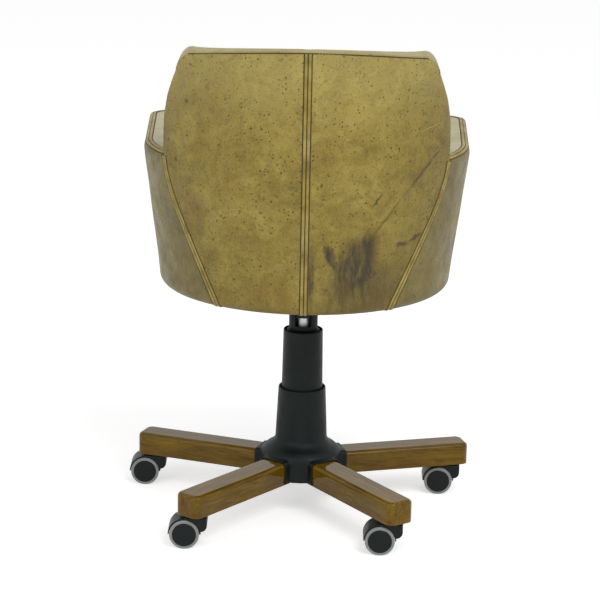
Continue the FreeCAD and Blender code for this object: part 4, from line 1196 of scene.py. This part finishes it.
def make_shell():
    """Moulded plywood wall with its lower edge rounded under the leather, and the front rail."""
    rows = tuck_rows(SKIN)
    rows += [(z, SKIN) for z in spread(TUCK_TOP + ROW_GAP, SHELL_ARM_TOP, 12)]
    outer, inner = [], []
    for z, inset in rows:
        front = level(z)[4] + SHELL_END
        outer.append([(x, y, z) for x, y in wall_path(z, inset, front)])
        inner.append([(x, y, z) for x, y in wall_path(z, SHELL_IN, front)])
    wall = finish_mesh("shell_wall", sheet_mesh("shell_wall", outer, inner), PLYWOOD)
    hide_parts("shell_frame")
    outer, inner = [], []
    for z in spread(SHELL_ARM_TOP + SHELL_SPLIT, SHELL_BACK_TOP, 16):
        half = back_half(z) - SHELL_END
        places = [(x, z + crown(x) - CROWN_Z) for x in spread(-half, half, 40)]
        outer.append([(x, rear_y(x, top, SKIN), top) for x, top in places])
        inner.append([(x, rear_y(x, top, SHELL_IN), top) for x, top in places])
    finish_mesh("shell_back", sheet_mesh("shell_back", outer, inner), PLYWOOD)
    low, high = RIM_Z + RAIL_GAP, BOARD_TOP - RAIL_GAP
    front, back, edge = RAIL_BACK - RAIL_THICK, RAIL_BACK, RAIL_EDGE
    corners = [(front, low + edge), (front + edge, low), (back - edge, low), (back, low + edge),
               (back, high - edge), (back - edge, high), (front + edge, high), (front, high - edge)]
    rings = [[(x, y, z) for y, z in corners] for x in spread(-RAIL_HALF, RAIL_HALF, 12)]
    finish_mesh("front_rail", tube_mesh("front_rail", rings), PLYWOOD)


make_outer_back()
make_back_pad()
make_arms()
make_seams()
make_cushion()
make_front_band()
make_dust_cloth()


# Materials of the frame's own pieces

def paint(name, material):
    materials = nodes[name].data.materials
    materials.clear()
    materials.append(material)


LEG_COUNT = 5
BASE_TURN = -2.1

COVER_PLASTIC = make_plastic("cover_plastic_look", srgb(14, 22, 21), 0.5, 1.3, 0.12)
CASTER_PLASTIC = make_plastic("caster_plastic_look", srgb(14, 21, 20), 0.4, 1.6, 0.05)
TREAD_RUBBER = make_plastic("tread_look", srgb(150, 152, 150), 0.5, 1.2, 0.05)
BLACK_STEEL = make_plastic("black_steel_look", srgb(14, 16, 16), 0.4, 0.8, 0.06)
CHROME = make_metal("chrome_look", (0.72, 0.73, 0.73, 1.0), 0.5, (1.0, 1.0, 14.0))
STEEL = make_metal("steel_look", (0.55, 0.56, 0.57, 1.0), 0.3, (1.0, 1.0, 8.0))
BUSH_PLASTIC = make_plastic("bush_look", srgb(225, 222, 210), 0.45, 1.5, 0.05)

make_hub_cover()
make_shell()

for number in range(1, LEG_COUNT + 1):
    paint("leg_%d" % number, make_wood(BASE_TURN - 90.0 + 360.0 / LEG_COUNT * (number - 1), number))
    caster = "caster_%d_" % number
    paint(caster + "hood", CASTER_PLASTIC)
    paint(caster + "pins", STEEL)
    for side_name in ("left", "right"):
        paint(caster + "wheel_" + side_name, CASTER_PLASTIC)
        paint(caster + "tread_" + side_name, TREAD_RUBBER)
for name in ("cover_sleeve", "cover_collar", "tension_knob"):
    paint(name, COVER_PLASTIC)
for name in ("base_hub", "mechanism_housing", "mechanism_top_plate", "height_lever", "column_tube"):
    paint(name, BLACK_STEEL)
for name in ("leg_bolts", "caster_sockets", "piston_rod", "tilt_pivot_pin", "tension_spring",
             "mounting_bolts", "thrust_bearing"):
    paint(name, STEEL)
paint("gas_cylinder", CHROME)
paint("column_bush", BUSH_PLASTIC)
paint("seat_board", PLYWOOD)


# Floor, light and camera

FLOOR_HALF = 30.0
FLOOR_GLOW = 0.5        # lifts the floor to white where the camera or a reflection sees it
WORLD_LEVEL = 0.5
KEY_POWER = 60.0
FILL_POWER = 18.0
LAMP_SIZE = 2.2
LAMP_TARGET = Vector((0, 0, 0.5))


def make_floor():
    """Plain pale floor that keeps the object's shadow."""
    mesh = bpy.data.meshes.new("floor")
    corners = [(x * FLOOR_HALF, y * FLOOR_HALF, 0) for x, y in ((-1, -1), (1, -1), (1, 1), (-1, 1))]
    mesh.from_pydata(corners, [], [(0, 1, 2, 3)])
    floor = add_object("floor", mesh)
    g = Graph("floor_look")
    g.put("Base Color", (0.93, 0.93, 0.93, 1.0))
    g.put("Roughness", 0.9)
    g.put("Specular IOR Level", 0.0)
    g.put("Emission Color", (1.0, 1.0, 1.0, 1.0))
    g.put("Emission Strength", g.times(g.seen(), FLOOR_GLOW))
    mesh.materials.append(g.material)


def make_world():
    """White all round for the camera and for reflections, and a plain level on the object."""
    world = bpy.data.worlds.new("studio")
    bpy.context.scene.world = world
    world.use_nodes = True
    g = Nodes(world.node_tree)
    strength = g.node("ShaderNodeMapRange", {"Value": g.seen(), "To Min": WORLD_LEVEL, "To Max": 1.0})
    back = g.node("ShaderNodeBackground", {"Color": (1, 1, 1, 1), "Strength": strength})
    g.join(back, g.new("ShaderNodeOutputWorld").inputs["Surface"])


def make_lamp(name, place, power):
    data = bpy.data.lights.new(name, "AREA")
    data.shape = "DISK"
    data.size = LAMP_SIZE
    data.energy = power
    lamp = add_object(name, data)
    lamp.location = place
    lamp.rotation_mode = "QUATERNION"
    lamp.rotation_quaternion = (LAMP_TARGET - Vector(place)).to_track_quat("-Z", "Y")


# The photograph's camera: place in metres, angles in radians, focal length in pixels of 600
CAMERA_PLACE = Vector((-0.008600, 3.674424, 1.34620))
CAMERA_YAW = 0.00414014
CAMERA_PITCH = -0.25966191
CAMERA_ROLL = 0.01972615
FOCAL_PIXELS = 2190.63
FRAME_PIXELS = 600.0
SENSOR = 36.0


def make_camera():
    data = bpy.data.cameras.new("camera")
    camera = add_object("camera", data)
    data.sensor_width = SENSOR
    data.lens = FOCAL_PIXELS / FRAME_PIXELS * SENSOR
    data.clip_end = 100.0
    forward = Vector((math.sin(CAMERA_YAW) * math.cos(CAMERA_PITCH),
                      -math.cos(CAMERA_YAW) * math.cos(CAMERA_PITCH), math.sin(CAMERA_PITCH)))
    right = forward.cross(UP).normalized()
    up = right.cross(forward)
    c = math.cos(CAMERA_ROLL)
    s = math.sin(CAMERA_ROLL)
    axes = Matrix((right * c + up * s, up * c - right * s, -forward)).transposed()
    camera.matrix_world = Matrix.Translation(CAMERA_PLACE) @ axes.to_4x4()
    bpy.context.scene.camera = camera


make_floor()
make_world()
make_lamp("key", (-1.4, 2.4, 3.3), KEY_POWER)
make_lamp("fill", (2.1, 2.4, 1.7), FILL_POWER)
make_camera()
bpy.context.scene.view_settings.view_transform = "Standard"
